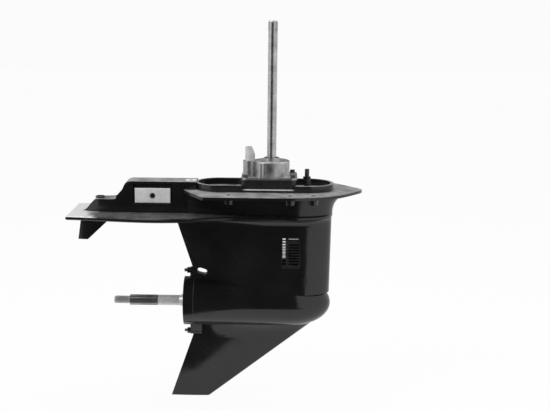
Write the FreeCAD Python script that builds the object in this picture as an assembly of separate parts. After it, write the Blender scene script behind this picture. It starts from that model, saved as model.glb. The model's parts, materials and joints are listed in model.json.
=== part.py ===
import FreeCAD, Part
import math
import os

# Lower unit of a boat's stern drive, in millimetres.
# +X points to the bow, +Z up, starboard is -Y.
# Origin: driveshaft axis, at the top face of the splash plate, where the upper unit bolts on.

# Main levels and stations
PROP_AXIS_DROP = 286.0
SPLASH_THICK = 7.0
VENT_PLATE_TOP = -58.0
VENT_PLATE_THICK = 10.0
SKEG_BOTTOM = -535.0
DRIVESHAFT_TOP = 405.0
BOW_TIP_X = 222.0
PLATE_REAR_X = -489.0

# Torpedo and bearing carrier
TORPEDO_R = 60.3
TORPEDO_REAR_X = -188.0
NOSE_START_X = 50.0
NOSE_TIP_X = 150.0
CARRIER_REAR_X = -213.0
CHAMBER_R = 52.0
CHAMBER_FRONT_X = 31.0

# Strut between the plates and the torpedo
STRUT_HALF = 40.0
STRUT_FLAT_END_X = 76.0
STRUT_LEAD_X = 149.0
STRUT_LEAD_RAKE = 2.5
STRUT_TRAIL_TOP_X = -236.0
STRUT_TRAIL_LOW_X = -182.0
STRUT_TRAIL_HALF = 5.0
STRUT_TRAIL_QUICK = 1.35
COVE_R = 24.0
COVE_SINK = 2.0
FAIRING_TOP_Z = -190.0
FAIRING_HALF = 52.4
FAIRING_DROP = 30.0
FAIRING_CURVE = 2.4

# Skeg
SKEG_LEAD_TOP_X = 112.0
SKEG_LEAD_TOP_Z = -332.0
SKEG_LEAD_BOTTOM_X = -151.0
SKEG_TRAIL_TOP_X = -177.0
SKEG_TRAIL_BOTTOM_X = -247.0
SKEG_ROOT_HALF = 7.5
SKEG_TIP_HALF = 3.5
SKEG_TRAIL_EDGE_HALF = 1.6
SKEG_FLARE_HALF = 30.0
SKEG_FLARE_DEPTH = 48.0
SKEG_FLARE_CURVE = 2.2

# Splash plate and its oval rim
SPLASH_HALF = 133.0
SPLASH_REAR_X = -168.0
SPLASH_TAIL_X = -212.0
RIM_REAR_X = -185.0
RIM_FRONT_X = 152.0
RIM_HALF = 61.0
RIM_TOP = 16.0
RIM_WALL = 7.0
NECK_HALF = 60.0
NECK_REAR_X = -222.0
NECK_FLARE = 38.0

# Anti-ventilation plate
VENT_REAR_HALF = 83.0
VENT_WIDE_HALF = 106.0
VENT_WIDE_X = -230.0
VENT_WAIST_HALF = 74.0
VENT_WAIST_X = -95.0
VENT_FRONT_HALF = 68.0
VENT_FRONT_X = 50.0
VENT_NOSE_X = 149.5
EDGE_BEVEL = 2.5

# Raised tail above the plate
TAIL_TOP = 18.5
TAIL_HALF = 30.0
TAIL_REAR_HALF = 23.0
TAIL_SHELF_Z = -27.0
TAIL_FRONT_X = -181.0
TAIL_BROW_X = -338.0
TAIL_SHELF_FRONT_X = -396.0
TAIL_SHELF_REAR_X = -424.0
TAIL_END_X = -462.0
TAB_BOLT_X = -419.0
TAB_BOSS_R = 11.5
TAB_BOSS_TOP = -23.0

# Mounting studs of the upper unit
STUD_X = 100.0
STUD_Y = 95.0
MID_STUD_X = 45.0
MID_STUD_Y = 100.0
STUD_HOLE_R = 5.5
STUD_BOSS_R = 13.0
STUD_BOSS_DEPTH = 15.0
REAR_BOLT_X = -196.0

# Exhaust passage: stations and half widths at its mouth, waist and foot
EXHAUST_FRONT_X = -86.0
EXHAUST_MOUTH_X = -150.0
EXHAUST_WAIST_X = -185.0
EXHAUST_FOOT_X = -146.0
EXHAUST_FOOT_FRONT_X = -96.0
EXHAUST_MOUTH_HALF = 48.0
EXHAUST_WAIST_HALF = 25.0
EXHAUST_FOOT_HALF = 19.0
EXHAUST_AFT_HALF = 8.0

# Driveshaft
DRIVESHAFT_R = 11.1
INPUT_SPLINE_LENGTH = 27.0
INPUT_SPLINE_R = 10.6
DRIVESHAFT_BORE_R = 17.0
PINION_JOURNAL_R = 14.0
PINION_SEAT_R = 10.0
NUT_THREAD_R = 8.0

# Bevel gears
MODULE = 3.0
PINION_TEETH = 14
GEAR_TEETH = 28
FACE_WIDTH = 13.0
BACKLASH = 0.36
PRESSURE_ANGLE = 20.0
GEAR_BACK = 9.0
GEAR_HUB_R = 22.0
GEAR_HUB_END = 57.0
PINION_HUB_R = 17.0
PINION_HUB_TOP = 49.0

# Dog clutch
CLUTCH_CORE = 7.0
CLUTCH_REACH = 11.0
CLUTCH_R = 20.0
JAW_INNER_R = 14.5
JAWS = 8
JAW_CLEAR_DEG = 1.6
JAW_GAP = 1.0
SHIFT_THROW = 4.7
CROSS_PIN_R = 4.0

# Propeller shaft
PROP_SHAFT_R = 12.7
PROP_SHAFT_FRONT_X = 54.0
PROP_SHAFT_REAR_X = -388.0
PROP_SPLINE_REAR_X = -349.0
PROP_SPLINE_FRONT_X = -279.0
PROP_SPLINE_R = 12.4
PROP_THREAD_R = 9.0
PROP_NOSE_R = 12.0
SLIDER_R = 5.0

# Shift linkage
SHIFT_X = 87.0
SHIFT_TOP = 49.0
SHIFT_ROD_R = 6.0
SHIFT_END_R = 5.5
SHIFT_COLLAR_R = 9.5
SHIFT_COLLAR_LOW = 12.0
SHIFT_COLLAR_TOP = 30.0
SHIFT_BORE_R = 13.0
CRANK_R = 11.5
CRANK_OFFSET = 7.3
CRANK_PIN_R = 3.0
FOLLOWER_R = 11.0
FOLLOWER_REAR_X = 69.0
FOLLOWER_FRONT_X = 103.0

# Water pump
PAD_TOP = 5.0
FACE_PLATE_THICK = 2.2
PUMP_REAR_X = -73.0
PUMP_FRONT_X = 60.0
PUMP_HALF = 56.0
PUMP_BODY_TOP = 29.0
PUMP_COVER_TOP = 70.0
PUMP_COVER_R = 44.0
PUMP_FLANGE_THICK = 5.0
SPIGOT_TOP = 77.0
IMPELLER_R = 34.0
IMPELLER_VANES = 6
OUTLET_X = -52.0
OUTLET_Y = -6.0
OUTLET_R = 17.0
SLEEVE_R = 12.0
SLEEVE_TOP = 103.0
TUBE_R = 8.0
TUBE_SEAT = 22.0
PUMP_BOLT_Y = 44.0
PUMP_BOLT_R = 4.0

# Water inlets in the strut sides
INLET_X = 27.0
INLET_LENGTH = 47.0
INLET_TOP = -113.0
INLET_HEIGHT = 82.0
INLET_THROUGH = 13.0
INLET_DEPTH = 14.0
GALLERY_HEIGHT = 20.0
WATER_BORE_X = 47.0
WATER_BORE_R = 7.0
SCREEN_THICK = 4.0
SCREEN_DEPTH = 3.0
SCREEN_PITCH = 6.8
SCREEN_SLOT = 3.8
SCREEN_ROWS = 10

# Side anodes
ANODE_REAR_X = -330.0
ANODE_LENGTH = 86.0
ANODE_TOP = 2.0
ANODE_HEIGHT = 36.0
ANODE_THICK = 7.0
ANODE_PROUD = 1.5
ANODE_SCREW_R = 3.5

# Trim tab
TAB_TOP_REAR_X = -466.0
TAB_TOP_FRONT_X = -387.0
TAB_BOTTOM = -132.0
TAB_BOTTOM_REAR_X = -475.0
TAB_BOTTOM_FRONT_X = -451.0
TAB_HALF = 5.0
TAB_DISC_R = 21.0
TAB_DISC_THICK = 6.0
TAB_STEM_R = 12.0
TAB_BOLT_R = 5.0

# Bearings, seals, bolts and plugs
BEARING_CUP_R = 42.0
FRONT_CUP_END_X = 55.0
BEARING_CONE_R = 27.0
ROLLER_R = 4.1
ROLLERS = 14
CUP_WALL = 6.0
REVERSE_CUP_R = 40.0
PINION_BEARING_R = 21.0
PINION_BEARING_LENGTH = 28.0
UPPER_BEARING_R = 28.0
UPPER_BEARING_LOW = -58.0
UPPER_BEARING_LENGTH = 24.0
SHAFT_SEAL_R = 18.0
CARRIER_HUB_R = 24.0
CARRIER_BEARING_R = 20.0
CARRIER_JOURNAL_R = 15.0
CARRIER_WEB_FRONT_X = -64.0
CARRIER_WEB_REAR_X = -92.0
CARRIER_SPOKES = 4
LUG_RADIUS = 78.0
LUG_THICK = 10.0
CARRIER_STUD_R = 4.0
CARRIER_STUD_DEPTH = 6.0
LUG_EAR_R = 9.0
FOOT_LENGTH = 18.0
SLOT_HALF = 7.3
PLUG_R = 5.0
PLUG_HEAD_R = 8.0
DRAIN_X = 12.0
LEVEL_X = -34.0
LEVEL_Z = -104.0

# Clearances
SLIDE_CLEAR = 0.15
RUN_CLEAR = 0.05
SEAT_CLEAR = 0.3

V = FreeCAD.Vector
X_AXIS = V(1, 0, 0)
Y_AXIS = V(0, 1, 0)
Z_AXIS = V(0, 0, 1)
AXIS_Z = -PROP_AXIS_DROP
VENT_PLATE_BOTTOM = VENT_PLATE_TOP - VENT_PLATE_THICK
PINION_BEARING_LOW = AXIS_Z + PINION_HUB_TOP + 2
PINION_BEARING_TOP = PINION_BEARING_LOW + PINION_BEARING_LENGTH
CARRIER_STUD_END_X = TORPEDO_REAR_X + CARRIER_STUD_DEPTH
PUMP_BODY_LOW = PAD_TOP + FACE_PLATE_THICK
PUMP_BOLT_LOW = PAD_TOP - 25
TAB_TOP = VENT_PLATE_BOTTOM - SEAT_CLEAR
TAB_STEM_TOP = VENT_PLATE_TOP + 8
TAB_HEAD_Z = TAB_STEM_TOP + 16
TAB_HEAD_R = 8.0


# Small shape helpers

def rod_x(radius, x0, x1, y=0.0, z=AXIS_Z):
    return Part.makeCylinder(radius, x1 - x0, V(x0, y, z), X_AXIS)


def rod_y(radius, y0, y1, x, z):
    return Part.makeCylinder(radius, y1 - y0, V(x, y0, z), Y_AXIS)


def rod_z(radius, z0, z1, x=0.0, y=0.0):
    return Part.makeCylinder(radius, z1 - z0, V(x, y, z0), Z_AXIS)


def tube_x(outer, inner, x0, x1, z=AXIS_Z):
    return rod_x(outer, x0, x1, 0.0, z).cut(rod_x(inner, x0 - 1, x1 + 1, 0.0, z))


def tube_z(outer, inner, z0, z1, x=0.0, y=0.0):
    return rod_z(outer, z0, z1, x, y).cut(rod_z(inner, z0 - 1, z1 + 1, x, y))


def block(x0, x1, y0, y1, z0, z1):
    corner = V(min(x0, x1), min(y0, y1), min(z0, z1))
    return Part.makeBox(abs(x1 - x0), abs(y1 - y0), abs(z1 - z0), corner)


def polygon(points):
    return Part.makePolygon(points + [points[0]])


def prism_y(xz, y0, y1):
    face = Part.Face(polygon([V(x, y0, z) for x, z in xz]))
    return face.extrude(V(0, y1 - y0, 0))


def spline(points, start=None, end=None):
    curve = Part.BSplineCurve()
    if start is None:
        curve.interpolate(Points=points)
    else:
        curve.interpolate(Points=points, InitialTangent=start, FinalTangent=end)
    return curve.toShape()


def line(a, b):
    return Part.LineSegment(a, b).toShape()


def ellipse_nose(x0, half, x_tip, z):
    """Half ellipse from (x0, half) round the tip at (x_tip, 0) to (x0, -half)."""
    reach = x_tip - x0
    if reach >= half:
        curve = Part.Ellipse(V(x_tip, 0, z), V(x0, half, z), V(x0, 0, z))
        return Part.ArcOfEllipse(curve, -math.pi / 2, math.pi / 2).toShape()
    curve = Part.Ellipse(V(x0, half, z), V(x_tip, 0, z), V(x0, 0, z))
    return Part.ArcOfEllipse(curve, -math.pi, 0).toShape()


def hexagon_rod(flats, start, length, direction):
    """Six-sided nut or bolt head, measured across its flats."""
    radius = flats / math.sqrt(3.0)
    across = Y_AXIS if abs(direction.y) < 0.5 else X_AXIS
    other = direction.cross(across)
    points = []
    for i in range(6):
        turn = math.radians(60 * i)
        points.append(start + across * (radius * math.cos(turn)) + other * (radius * math.sin(turn)))
    return Part.Face(polygon(points)).extrude(direction * length)


def fuse_all(shapes):
    return shapes[0].multiFuse(shapes[1:]).removeSplitter()


def cut_all(shape, tools):
    for tool in tools:
        shape = shape.cut(tool)
    return shape


# Gear housing, outside forms

def foil_wire(z, x_trail, x_flat, x_tip, half, trail_half):
    """Closed horizontal section: blunt tail, gently bowed sides, elliptical nose."""
    length = x_flat - x_trail
    edges = []
    for side in (1, -1):
        points = [V(x_trail, side * trail_half, z),
                  V(x_trail + 0.35 * length, side * (0.45 * trail_half + 0.55 * half) * 1.08, z),
                  V(x_trail + 0.65 * length, side * half * 0.97, z),
                  V(x_flat, side * half, z)]
        slope = V(length, side * (half - trail_half) * 2.2, 0)
        side_edge = spline(points, slope, V(length, 0, 0))
        edges.append(side_edge)
    nose = ellipse_nose(x_flat, half, x_tip, z)
    trail = line(V(x_trail, -trail_half, z), V(x_trail, trail_half, z))
    ordered = Part.__sortEdges__([trail, edges[0], nose, edges[1]])
    return Part.Wire(ordered)


def strut_section(z):
    """Strut outline at a level: hollow corner under the plate, plain sides, flare onto the torpedo."""
    down = (VENT_PLATE_BOTTOM - z) / (VENT_PLATE_BOTTOM - AXIS_Z)
    trail = STRUT_TRAIL_TOP_X + (STRUT_TRAIL_LOW_X - STRUT_TRAIL_TOP_X) * min(1.0, down * STRUT_TRAIL_QUICK)
    lead = STRUT_LEAD_X - STRUT_LEAD_RAKE * down
    rise = max(0.0, z - VENT_PLATE_BOTTOM - COVE_SINK + COVE_R)
    cove = COVE_R - math.sqrt(COVE_R ** 2 - rise ** 2)
    spread = max(0.0, (FAIRING_TOP_Z - z) / (FAIRING_TOP_Z - AXIS_Z - FAIRING_DROP))
    half = STRUT_HALF + cove + (FAIRING_HALF - STRUT_HALF) * spread ** FAIRING_CURVE
    return foil_wire(z, trail - 0.3 * cove, STRUT_FLAT_END_X, lead, half, STRUT_TRAIL_HALF + 0.5 * cove)


def stacked_loft(section, low, high, shares, ruled=False):
    """Loft of one section rule through levels set as shares of the height."""
    return Part.makeLoft([section(low + (high - low) * share) for share in shares], True, ruled)


def strut():
    foot = AXIS_Z + FAIRING_DROP
    cove_low = VENT_PLATE_BOTTOM + COVE_SINK - COVE_R
    cove_top = VENT_PLATE_BOTTOM + COVE_SINK / 2
    flare = stacked_loft(strut_section, foot, FAIRING_TOP_Z, (0.0, 0.25, 0.5, 0.75, 1.0))
    sides = stacked_loft(strut_section, FAIRING_TOP_Z, cove_low, (0.0, 0.5, 1.0))
    cove = stacked_loft(strut_section, cove_low, cove_top, (0.0, 0.3, 0.55, 0.75, 0.9, 1.0))
    return fuse_all([flare, sides, cove])


def torpedo():
    start = V(TORPEDO_REAR_X, 0, AXIS_Z)
    rear_rim = V(TORPEDO_REAR_X, 0, AXIS_Z + TORPEDO_R)
    shoulder = V(NOSE_START_X, 0, AXIS_Z + TORPEDO_R)
    centre = V(NOSE_START_X, 0, AXIS_Z)
    tip = V(NOSE_TIP_X, 0, AXIS_Z)
    curve = Part.Ellipse(tip, shoulder, centre)
    nose = Part.ArcOfEllipse(curve, 0, math.pi / 2).toShape()
    edges = Part.__sortEdges__([line(start, rear_rim), line(rear_rim, shoulder), nose, line(tip, start)])
    return Part.Face(Part.Wire(edges)).revolve(centre, X_AXIS, 360)


def skeg_wire(z, x_trail, x_lead, half):
    """Thin lens section with a blunt trailing edge and a round leading edge."""
    nose_reach = 3.0 * half
    edges = []
    for side in (1, -1):
        edges.append(spline([V(x_trail, side * SKEG_TRAIL_EDGE_HALF, z),
                             V(x_trail + 0.45 * (x_lead - x_trail), side * half, z),
                             V(x_lead - nose_reach, side * half * 0.9, z)]))
    nose = ellipse_nose(x_lead - nose_reach, half * 0.9, x_lead, z)
    trail = line(V(x_trail, -SKEG_TRAIL_EDGE_HALF, z), V(x_trail, SKEG_TRAIL_EDGE_HALF, z))
    return Part.Wire(Part.__sortEdges__([trail, edges[0], nose, edges[1]]))


def skeg_section(z):
    """Skeg outline at a level, spread at the top where it meets the torpedo's belly."""
    down = (SKEG_LEAD_TOP_Z - z) / (SKEG_LEAD_TOP_Z - SKEG_BOTTOM)
    trail = SKEG_TRAIL_TOP_X + (SKEG_TRAIL_BOTTOM_X - SKEG_TRAIL_TOP_X) * down
    lead = SKEG_LEAD_TOP_X + (SKEG_LEAD_BOTTOM_X - SKEG_LEAD_TOP_X) * down
    thin = SKEG_ROOT_HALF + (SKEG_TIP_HALF - SKEG_ROOT_HALF) * down
    near = max(0.0, 1 - (SKEG_LEAD_TOP_Z - z) / SKEG_FLARE_DEPTH)
    return skeg_wire(z, trail, lead, thin + (SKEG_FLARE_HALF - thin) * near ** SKEG_FLARE_CURVE)


def skeg():
    blade_top = SKEG_LEAD_TOP_Z - SKEG_FLARE_DEPTH
    flare = stacked_loft(skeg_section, SKEG_LEAD_TOP_Z, blade_top, (0.0, 0.3, 0.55, 0.8, 1.0))
    return flare.fuse(stacked_loft(skeg_section, blade_top, SKEG_BOTTOM, (0.0, 1.0), True))


def vent_plate():
    """Anti-ventilation plate: wide over the propeller, waisted, with a rounded nose."""
    z = VENT_PLATE_BOTTOM
    edges = []
    for side in (1, -1):
        points = [V(PLATE_REAR_X, side * VENT_REAR_HALF, z),
                  V(VENT_WIDE_X, side * VENT_WIDE_HALF, z),
                  V(VENT_WAIST_X, side * VENT_WAIST_HALF, z),
                  V(VENT_FRONT_X, side * VENT_FRONT_HALF, z)]
        edges.append(spline(points, V(160, side * 14, 0), V(120, 0, 0)))
    rear = line(V(PLATE_REAR_X, -VENT_REAR_HALF, z), V(PLATE_REAR_X, VENT_REAR_HALF, z))
    nose = ellipse_nose(VENT_FRONT_X, VENT_FRONT_HALF, VENT_NOSE_X, z)
    wire = Part.Wire(Part.__sortEdges__([rear, edges[0], nose, edges[1]]))
    plate = Part.Face(wire).extrude(V(0, 0, VENT_PLATE_THICK))
    rims = [e for e in plate.Edges if e.BoundBox.ZMax - e.BoundBox.ZMin < 0.01]
    return plate.makeChamfer(EDGE_BEVEL, rims)


def neck():
    """Upper body between the two plates, flared forward under the splash plate."""
    top = -SPLASH_THICK + 2
    low = VENT_PLATE_BOTTOM + 4
    sections = []
    for share in (0.0, 0.4, 0.75, 1.0):
        z = low + (top - low) * share
        lead = STRUT_LEAD_X + 2 + NECK_FLARE * share ** 3
        sections.append(foil_wire(z, NECK_REAR_X, VENT_FRONT_X, lead, NECK_HALF, TAIL_HALF - 6))
    return Part.makeLoft(sections, True, False)


def tail():
    """Raised aft body: the side outline and the plan outline cut from each other."""
    low = VENT_PLATE_BOTTOM + 2
    shelf = TAIL_SHELF_Z
    top = TAIL_TOP
    brow = TAIL_BROW_X
    front = TAIL_SHELF_FRONT_X
    rear = TAIL_SHELF_REAR_X
    end = TAIL_END_X
    side_edges = [line(V(TAIL_FRONT_X, 0, top), V(brow, 0, top)),
                  spline([V(brow, 0, top), V(brow - 14, 0, top - 4), V(brow - 24, 0, top - 22),
                          V(brow - 38, 0, top - 38), V(front, 0, shelf)], V(-20, 0, -1), V(-22, 0, -1)),
                  line(V(front, 0, shelf), V(rear, 0, shelf)),
                  spline([V(rear, 0, shelf), V(rear - 9, 0, shelf - 5), V(rear - 18, 0, shelf - 15),
                          V(end, 0, VENT_PLATE_TOP)], V(-20, 0, 0), V(-20, 0, -5)),
                  line(V(end, 0, VENT_PLATE_TOP), V(end, 0, low)),
                  line(V(end, 0, low), V(TAIL_FRONT_X, 0, low)),
                  line(V(TAIL_FRONT_X, 0, low), V(TAIL_FRONT_X, 0, top))]
    side_face = Part.Face(Part.Wire(side_edges))
    side_face.translate(V(0, -60, 0))
    side = side_face.extrude(V(0, 120, 0))
    half = TAIL_HALF
    narrow = TAIL_REAR_HALF
    bend = brow - 7
    plan_edges = [line(V(TAIL_FRONT_X, -half, low), V(TAIL_FRONT_X, half, low)),
                  line(V(TAIL_FRONT_X, half, low), V(bend, half, low)),
                  spline([V(bend, half, low), V(front - 4, narrow + 3, low), V(front - 44, narrow - 5, low),
                          V(end - 2, 0, low), V(front - 44, -narrow + 5, low), V(front - 4, -narrow - 3, low),
                          V(bend, -half, low)], V(-60, 0, 0), V(60, 0, 0)),
                  line(V(bend, -half, low), V(TAIL_FRONT_X, -half, low))]
    plan = Part.Face(Part.Wire(plan_edges)).extrude(V(0, 0, TAIL_TOP - low + 5))
    boss = rod_z(TAB_BOSS_R, TAIL_SHELF_Z - 2, TAB_BOSS_TOP, TAB_BOLT_X)
    return side.common(plan).fuse(boss)


def splash_plate():
    z = -SPLASH_THICK
    corner = SPLASH_REAR_X + 14
    edges = []
    for side in (1, -1):
        edges.append(spline([V(corner, side * SPLASH_HALF, z),
                             V(0, side * SPLASH_HALF, z),
                             V(90, side * SPLASH_HALF * 0.93, z),
                             V(160, side * SPLASH_HALF * 0.66, z),
                             V(BOW_TIP_X - 18, side * SPLASH_HALF * 0.25, z),
                             V(BOW_TIP_X, 0, z)],
                            V(150, 0, 0), V(10, -side * 60, 0)))
        edges.append(spline([V(corner, side * SPLASH_HALF, z),
                             V(SPLASH_REAR_X, side * (SPLASH_HALF - 12), z),
                             V(SPLASH_TAIL_X, side * TAIL_HALF, z)],
                            V(-30, 0, 0), V(-20, -side * 60, 0)))
    edges.append(line(V(SPLASH_TAIL_X, -TAIL_HALF, z), V(SPLASH_TAIL_X, TAIL_HALF, z)))
    wire = Part.Wire(Part.__sortEdges__(edges))
    return Part.Face(wire).extrude(V(0, 0, SPLASH_THICK))


def stadium(x0, x1, half, z0, z1):
    """Oval block with round ends."""
    middle = block(x0 + half, x1 - half, -half, half, z0, z1)
    rear = rod_z(half, z0, z1, x0 + half)
    front = rod_z(half, z0, z1, x1 - half)
    return fuse_all([middle, rear, front])


def stud_places():
    corners = [(sx * STUD_X, sy * STUD_Y) for sx in (1, -1) for sy in (1, -1)]
    return corners + [(MID_STUD_X, MID_STUD_Y), (MID_STUD_X, -MID_STUD_Y)]


def stud_bosses():
    bosses = []
    for x, y in stud_places():
        cone = Part.makeCone(STUD_BOSS_R - 3, STUD_BOSS_R, STUD_BOSS_DEPTH,
                             V(x, y, -SPLASH_THICK - STUD_BOSS_DEPTH), Z_AXIS)
        web = block(x - 3, x + 3, math.copysign(40, y), y, -SPLASH_THICK - STUD_BOSS_DEPTH + 2,
                    -SPLASH_THICK + 1)
        bosses += [cone, web]
    return bosses


# Gear housing, inside forms

def exhaust_cavity():
    """Passage from the top opening down to the space round the carrier."""
    def quad(z, x0, x1, aft, fore):
        return polygon([V(x0, -aft, z), V(x1, -fore, z), V(x1, fore, z), V(x0, aft, z)])
    front = EXHAUST_FRONT_X
    waist = quad(VENT_PLATE_BOTTOM, EXHAUST_WAIST_X, front, EXHAUST_AFT_HALF, EXHAUST_WAIST_HALF)
    mouth = quad(RIM_TOP + 5, EXHAUST_MOUTH_X, front, EXHAUST_MOUTH_HALF - 6, EXHAUST_MOUTH_HALF)
    throat = quad(-40, EXHAUST_MOUTH_X - 10, front, EXHAUST_MOUTH_HALF - 18, EXHAUST_MOUTH_HALF - 2)
    knee = quad(-190, EXHAUST_FOOT_X - 4, front - 4, EXHAUST_AFT_HALF + 1, EXHAUST_FOOT_HALF + 2)
    foot = quad(AXIS_Z + CHAMBER_R - 4, EXHAUST_FOOT_X, EXHAUST_FOOT_FRONT_X, EXHAUST_AFT_HALF,
                EXHAUST_FOOT_HALF)
    return [Part.makeLoft([mouth, throat, waist], True, True), Part.makeLoft([waist, knee, foot], True, True)]


def carrier_slot():
    """Slanting slot through the strut's heel, just ahead of the upper carrier lug."""
    start = V(TORPEDO_REAR_X + 14.6, -60, AXIS_Z + LUG_RADIUS + 1.3)
    end = V(TORPEDO_REAR_X + 25, -60, AXIS_Z + LUG_RADIUS - 1.3)
    ends = [rod_y(SLOT_HALF, -60, 60, start.x, start.z), rod_y(SLOT_HALF, -60, 60, end.x, end.z)]
    along = (end - start).normalize()
    out = V(-along.z, 0, along.x) * SLOT_HALF
    face = Part.Face(polygon([start + out, end + out, end - out, start - out]))
    return fuse_all(ends + [face.extrude(V(0, 120, 0))])


def inlet_opening():
    """Water pockets behind the screens, a slit right through and a cross gallery over them."""
    low = INLET_TOP - INLET_HEIGHT
    front = INLET_X + INLET_LENGTH
    outside = STRUT_HALF + 20
    floor = STRUT_HALF - INLET_DEPTH
    return [block(INLET_X, INLET_X + INLET_THROUGH, -outside, outside, low, INLET_TOP),
            block(INLET_X, front, -outside, -floor, low, INLET_TOP),
            block(INLET_X, front, floor, outside, low, INLET_TOP),
            block(INLET_X, front, -outside, outside, INLET_TOP - GALLERY_HEIGHT, INLET_TOP)]


def anode_pocket(side):
    depth = ANODE_THICK - ANODE_PROUD
    return block(ANODE_REAR_X - 4, ANODE_REAR_X + ANODE_LENGTH + 4, side * (TAIL_HALF - depth),
                 side * (TAIL_HALF + 10), ANODE_TOP - ANODE_HEIGHT - 3, ANODE_TOP + 11)


def gear_housing():
    recess = stadium(RIM_REAR_X + RIM_WALL, RIM_FRONT_X - RIM_WALL, RIM_HALF - RIM_WALL, 0, RIM_TOP)
    rim = stadium(RIM_REAR_X, RIM_FRONT_X, RIM_HALF, -2, RIM_TOP).cut(recess)
    pad = rounded_block(PUMP_REAR_X, PUMP_FRONT_X, PUMP_HALF + 4, 10, -2, PAD_TOP)
    feet = lug_shape(1, TORPEDO_REAR_X, FOOT_LENGTH) + lug_shape(-1, TORPEDO_REAR_X, FOOT_LENGTH)
    body = fuse_all([strut(), torpedo(), skeg(), vent_plate(), neck(), tail(), splash_plate(), rim, pad]
                    + stud_bosses() + feet)
    tools = [rounded_block(PUMP_REAR_X - 1, PUMP_FRONT_X + 1, PUMP_HALF + 6, 11, PAD_TOP, RIM_TOP + 1)]
    tools += exhaust_cavity()
    tools.append(carrier_slot())
    tools += inlet_opening()
    tools.append(rod_z(WATER_BORE_R, INLET_TOP - 5, PAD_TOP + 1, WATER_BORE_X))
    tools += [anode_pocket(1), anode_pocket(-1)]
    tools.append(rod_y(ANODE_SCREW_R, -TAIL_HALF - 5, TAIL_HALF + 5, anode_centre()[0], anode_centre()[1]))
    tools.append(rod_x(CHAMBER_R, TORPEDO_REAR_X - 5, CHAMBER_FRONT_X))
    tools.append(rod_x(BEARING_CUP_R, CHAMBER_FRONT_X - 1, FRONT_CUP_END_X))
    tools.append(rod_x(GEAR_HUB_R + 4, FRONT_CUP_END_X - 1, GEAR_HUB_END + 5))
    tools.append(rod_x(FOLLOWER_R + SLIDE_CLEAR, GEAR_HUB_END, FOLLOWER_FRONT_X + SHIFT_THROW + 2))
    tools.append(rod_z(DRIVESHAFT_BORE_R, AXIS_Z + 40, PAD_TOP + 5))
    tools.append(rod_z(PINION_BEARING_R, AXIS_Z + 40, PINION_BEARING_TOP))
    tools.append(rod_z(UPPER_BEARING_R, UPPER_BEARING_LOW, PAD_TOP + 5))
    tools.append(rod_z(SHIFT_BORE_R, AXIS_Z - 4, 1, SHIFT_X))
    tools.append(rod_z(TAB_STEM_R + SLIDE_CLEAR, VENT_PLATE_BOTTOM - 1, TAB_STEM_TOP + 1, TAB_BOLT_X))
    tools.append(rod_z(TAB_BOLT_R + SLIDE_CLEAR, VENT_PLATE_BOTTOM, 0, TAB_BOLT_X))
    tools.append(rod_z(TAB_HEAD_R + 1.5, TAB_HEAD_Z, 20, TAB_BOLT_X))
    tools.append(rod_z(STUD_HOLE_R, VENT_PLATE_TOP + 5, TAIL_TOP + 5, REAR_BOLT_X))
    for x, y in stud_places():
        tools.append(rod_z(STUD_HOLE_R, -60, 5, x, y))
    for x, y in pump_bolt_places():
        tools.append(rod_z(PUMP_BOLT_R, PUMP_BOLT_LOW, PAD_TOP + 5, x, y))
    for sign in (1, -1):
        tools.append(rod_x(CARRIER_STUD_R, TORPEDO_REAR_X - 5, CARRIER_STUD_END_X, 0, AXIS_Z + sign * LUG_RADIUS))
        tools.append(block(TORPEDO_REAR_X - 2 * LUG_THICK, TORPEDO_REAR_X, -20, 20,
                           AXIS_Z + sign * (TORPEDO_R - 1), AXIS_Z + sign * (LUG_RADIUS + LUG_EAR_R + 0.5)))
    for x, seat, z, depth in plug_places():
        tools.append(rod_y(PLUG_R, seat - depth, seat + 5, x, z))
        tools.append(rod_y(PLUG_HEAD_R + 1, seat, seat + 20, x, z))
    return cut_all(body, tools).removeSplitter()


def rounded_block(x0, x1, half, radius, z0, z1):
    body = block(x0, x1, -half, half, z0, z1)
    uprights = [e for e in body.Edges if abs(e.BoundBox.ZMax - e.BoundBox.ZMin - (z1 - z0)) < 0.01]
    return body.makeFillet(radius, uprights)


def anode_centre():
    return ANODE_REAR_X + ANODE_LENGTH / 2, ANODE_TOP - ANODE_HEIGHT / 2


def pump_bolt_places():
    return [(x, sy * PUMP_BOLT_Y) for x in (PUMP_REAR_X + 11, PUMP_FRONT_X - 8) for sy in (1, -1)]


def plug_places():
    """Oil drain low on the port side, oil level plug high on it: x, seat y, z, hole depth."""
    return [(DRAIN_X, TORPEDO_R - 2, AXIS_Z, 12.0), (LEVEL_X, STRUT_HALF - 5, LEVEL_Z, 12.0)]


# Bevel gears: planar involute teeth on the back cone, tapered towards the common apex

def cone_distance():
    return MODULE * math.hypot(PINION_TEETH, GEAR_TEETH) / 2


def tooth_form(teeth, mate, addendum, dedendum):
    """Virtual-gear data of one bevel gear."""
    cone = math.atan2(teeth, mate)
    pitch = MODULE * teeth / 2 / math.cos(cone)
    return {"teeth": teeth, "cone": cone, "pitch": pitch, "tip": pitch + addendum * MODULE,
            "root": pitch - dedendum * MODULE, "base": pitch * math.cos(math.radians(PRESSURE_ANGLE))}


PINION_FORM = tooth_form(PINION_TEETH, GEAR_TEETH, 1.15, 0.95)
GEAR_FORM = tooth_form(GEAR_TEETH, PINION_TEETH, 0.7, 1.4)
INNER_SHARE = 1 - FACE_WIDTH / cone_distance()


def involute(angle):
    return math.tan(angle) - angle


def half_angle(form, radius):
    """Half the tooth's angle at a radius of the virtual gear."""
    virtual_teeth = form["teeth"] / math.cos(form["cone"])
    at_pitch = math.pi / (2 * virtual_teeth) - BACKLASH / 4 / form["pitch"]
    pressure = math.radians(PRESSURE_ANGLE)
    here = math.acos(form["base"] / max(radius, form["base"]))
    return at_pitch + involute(pressure) - involute(here)


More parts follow.
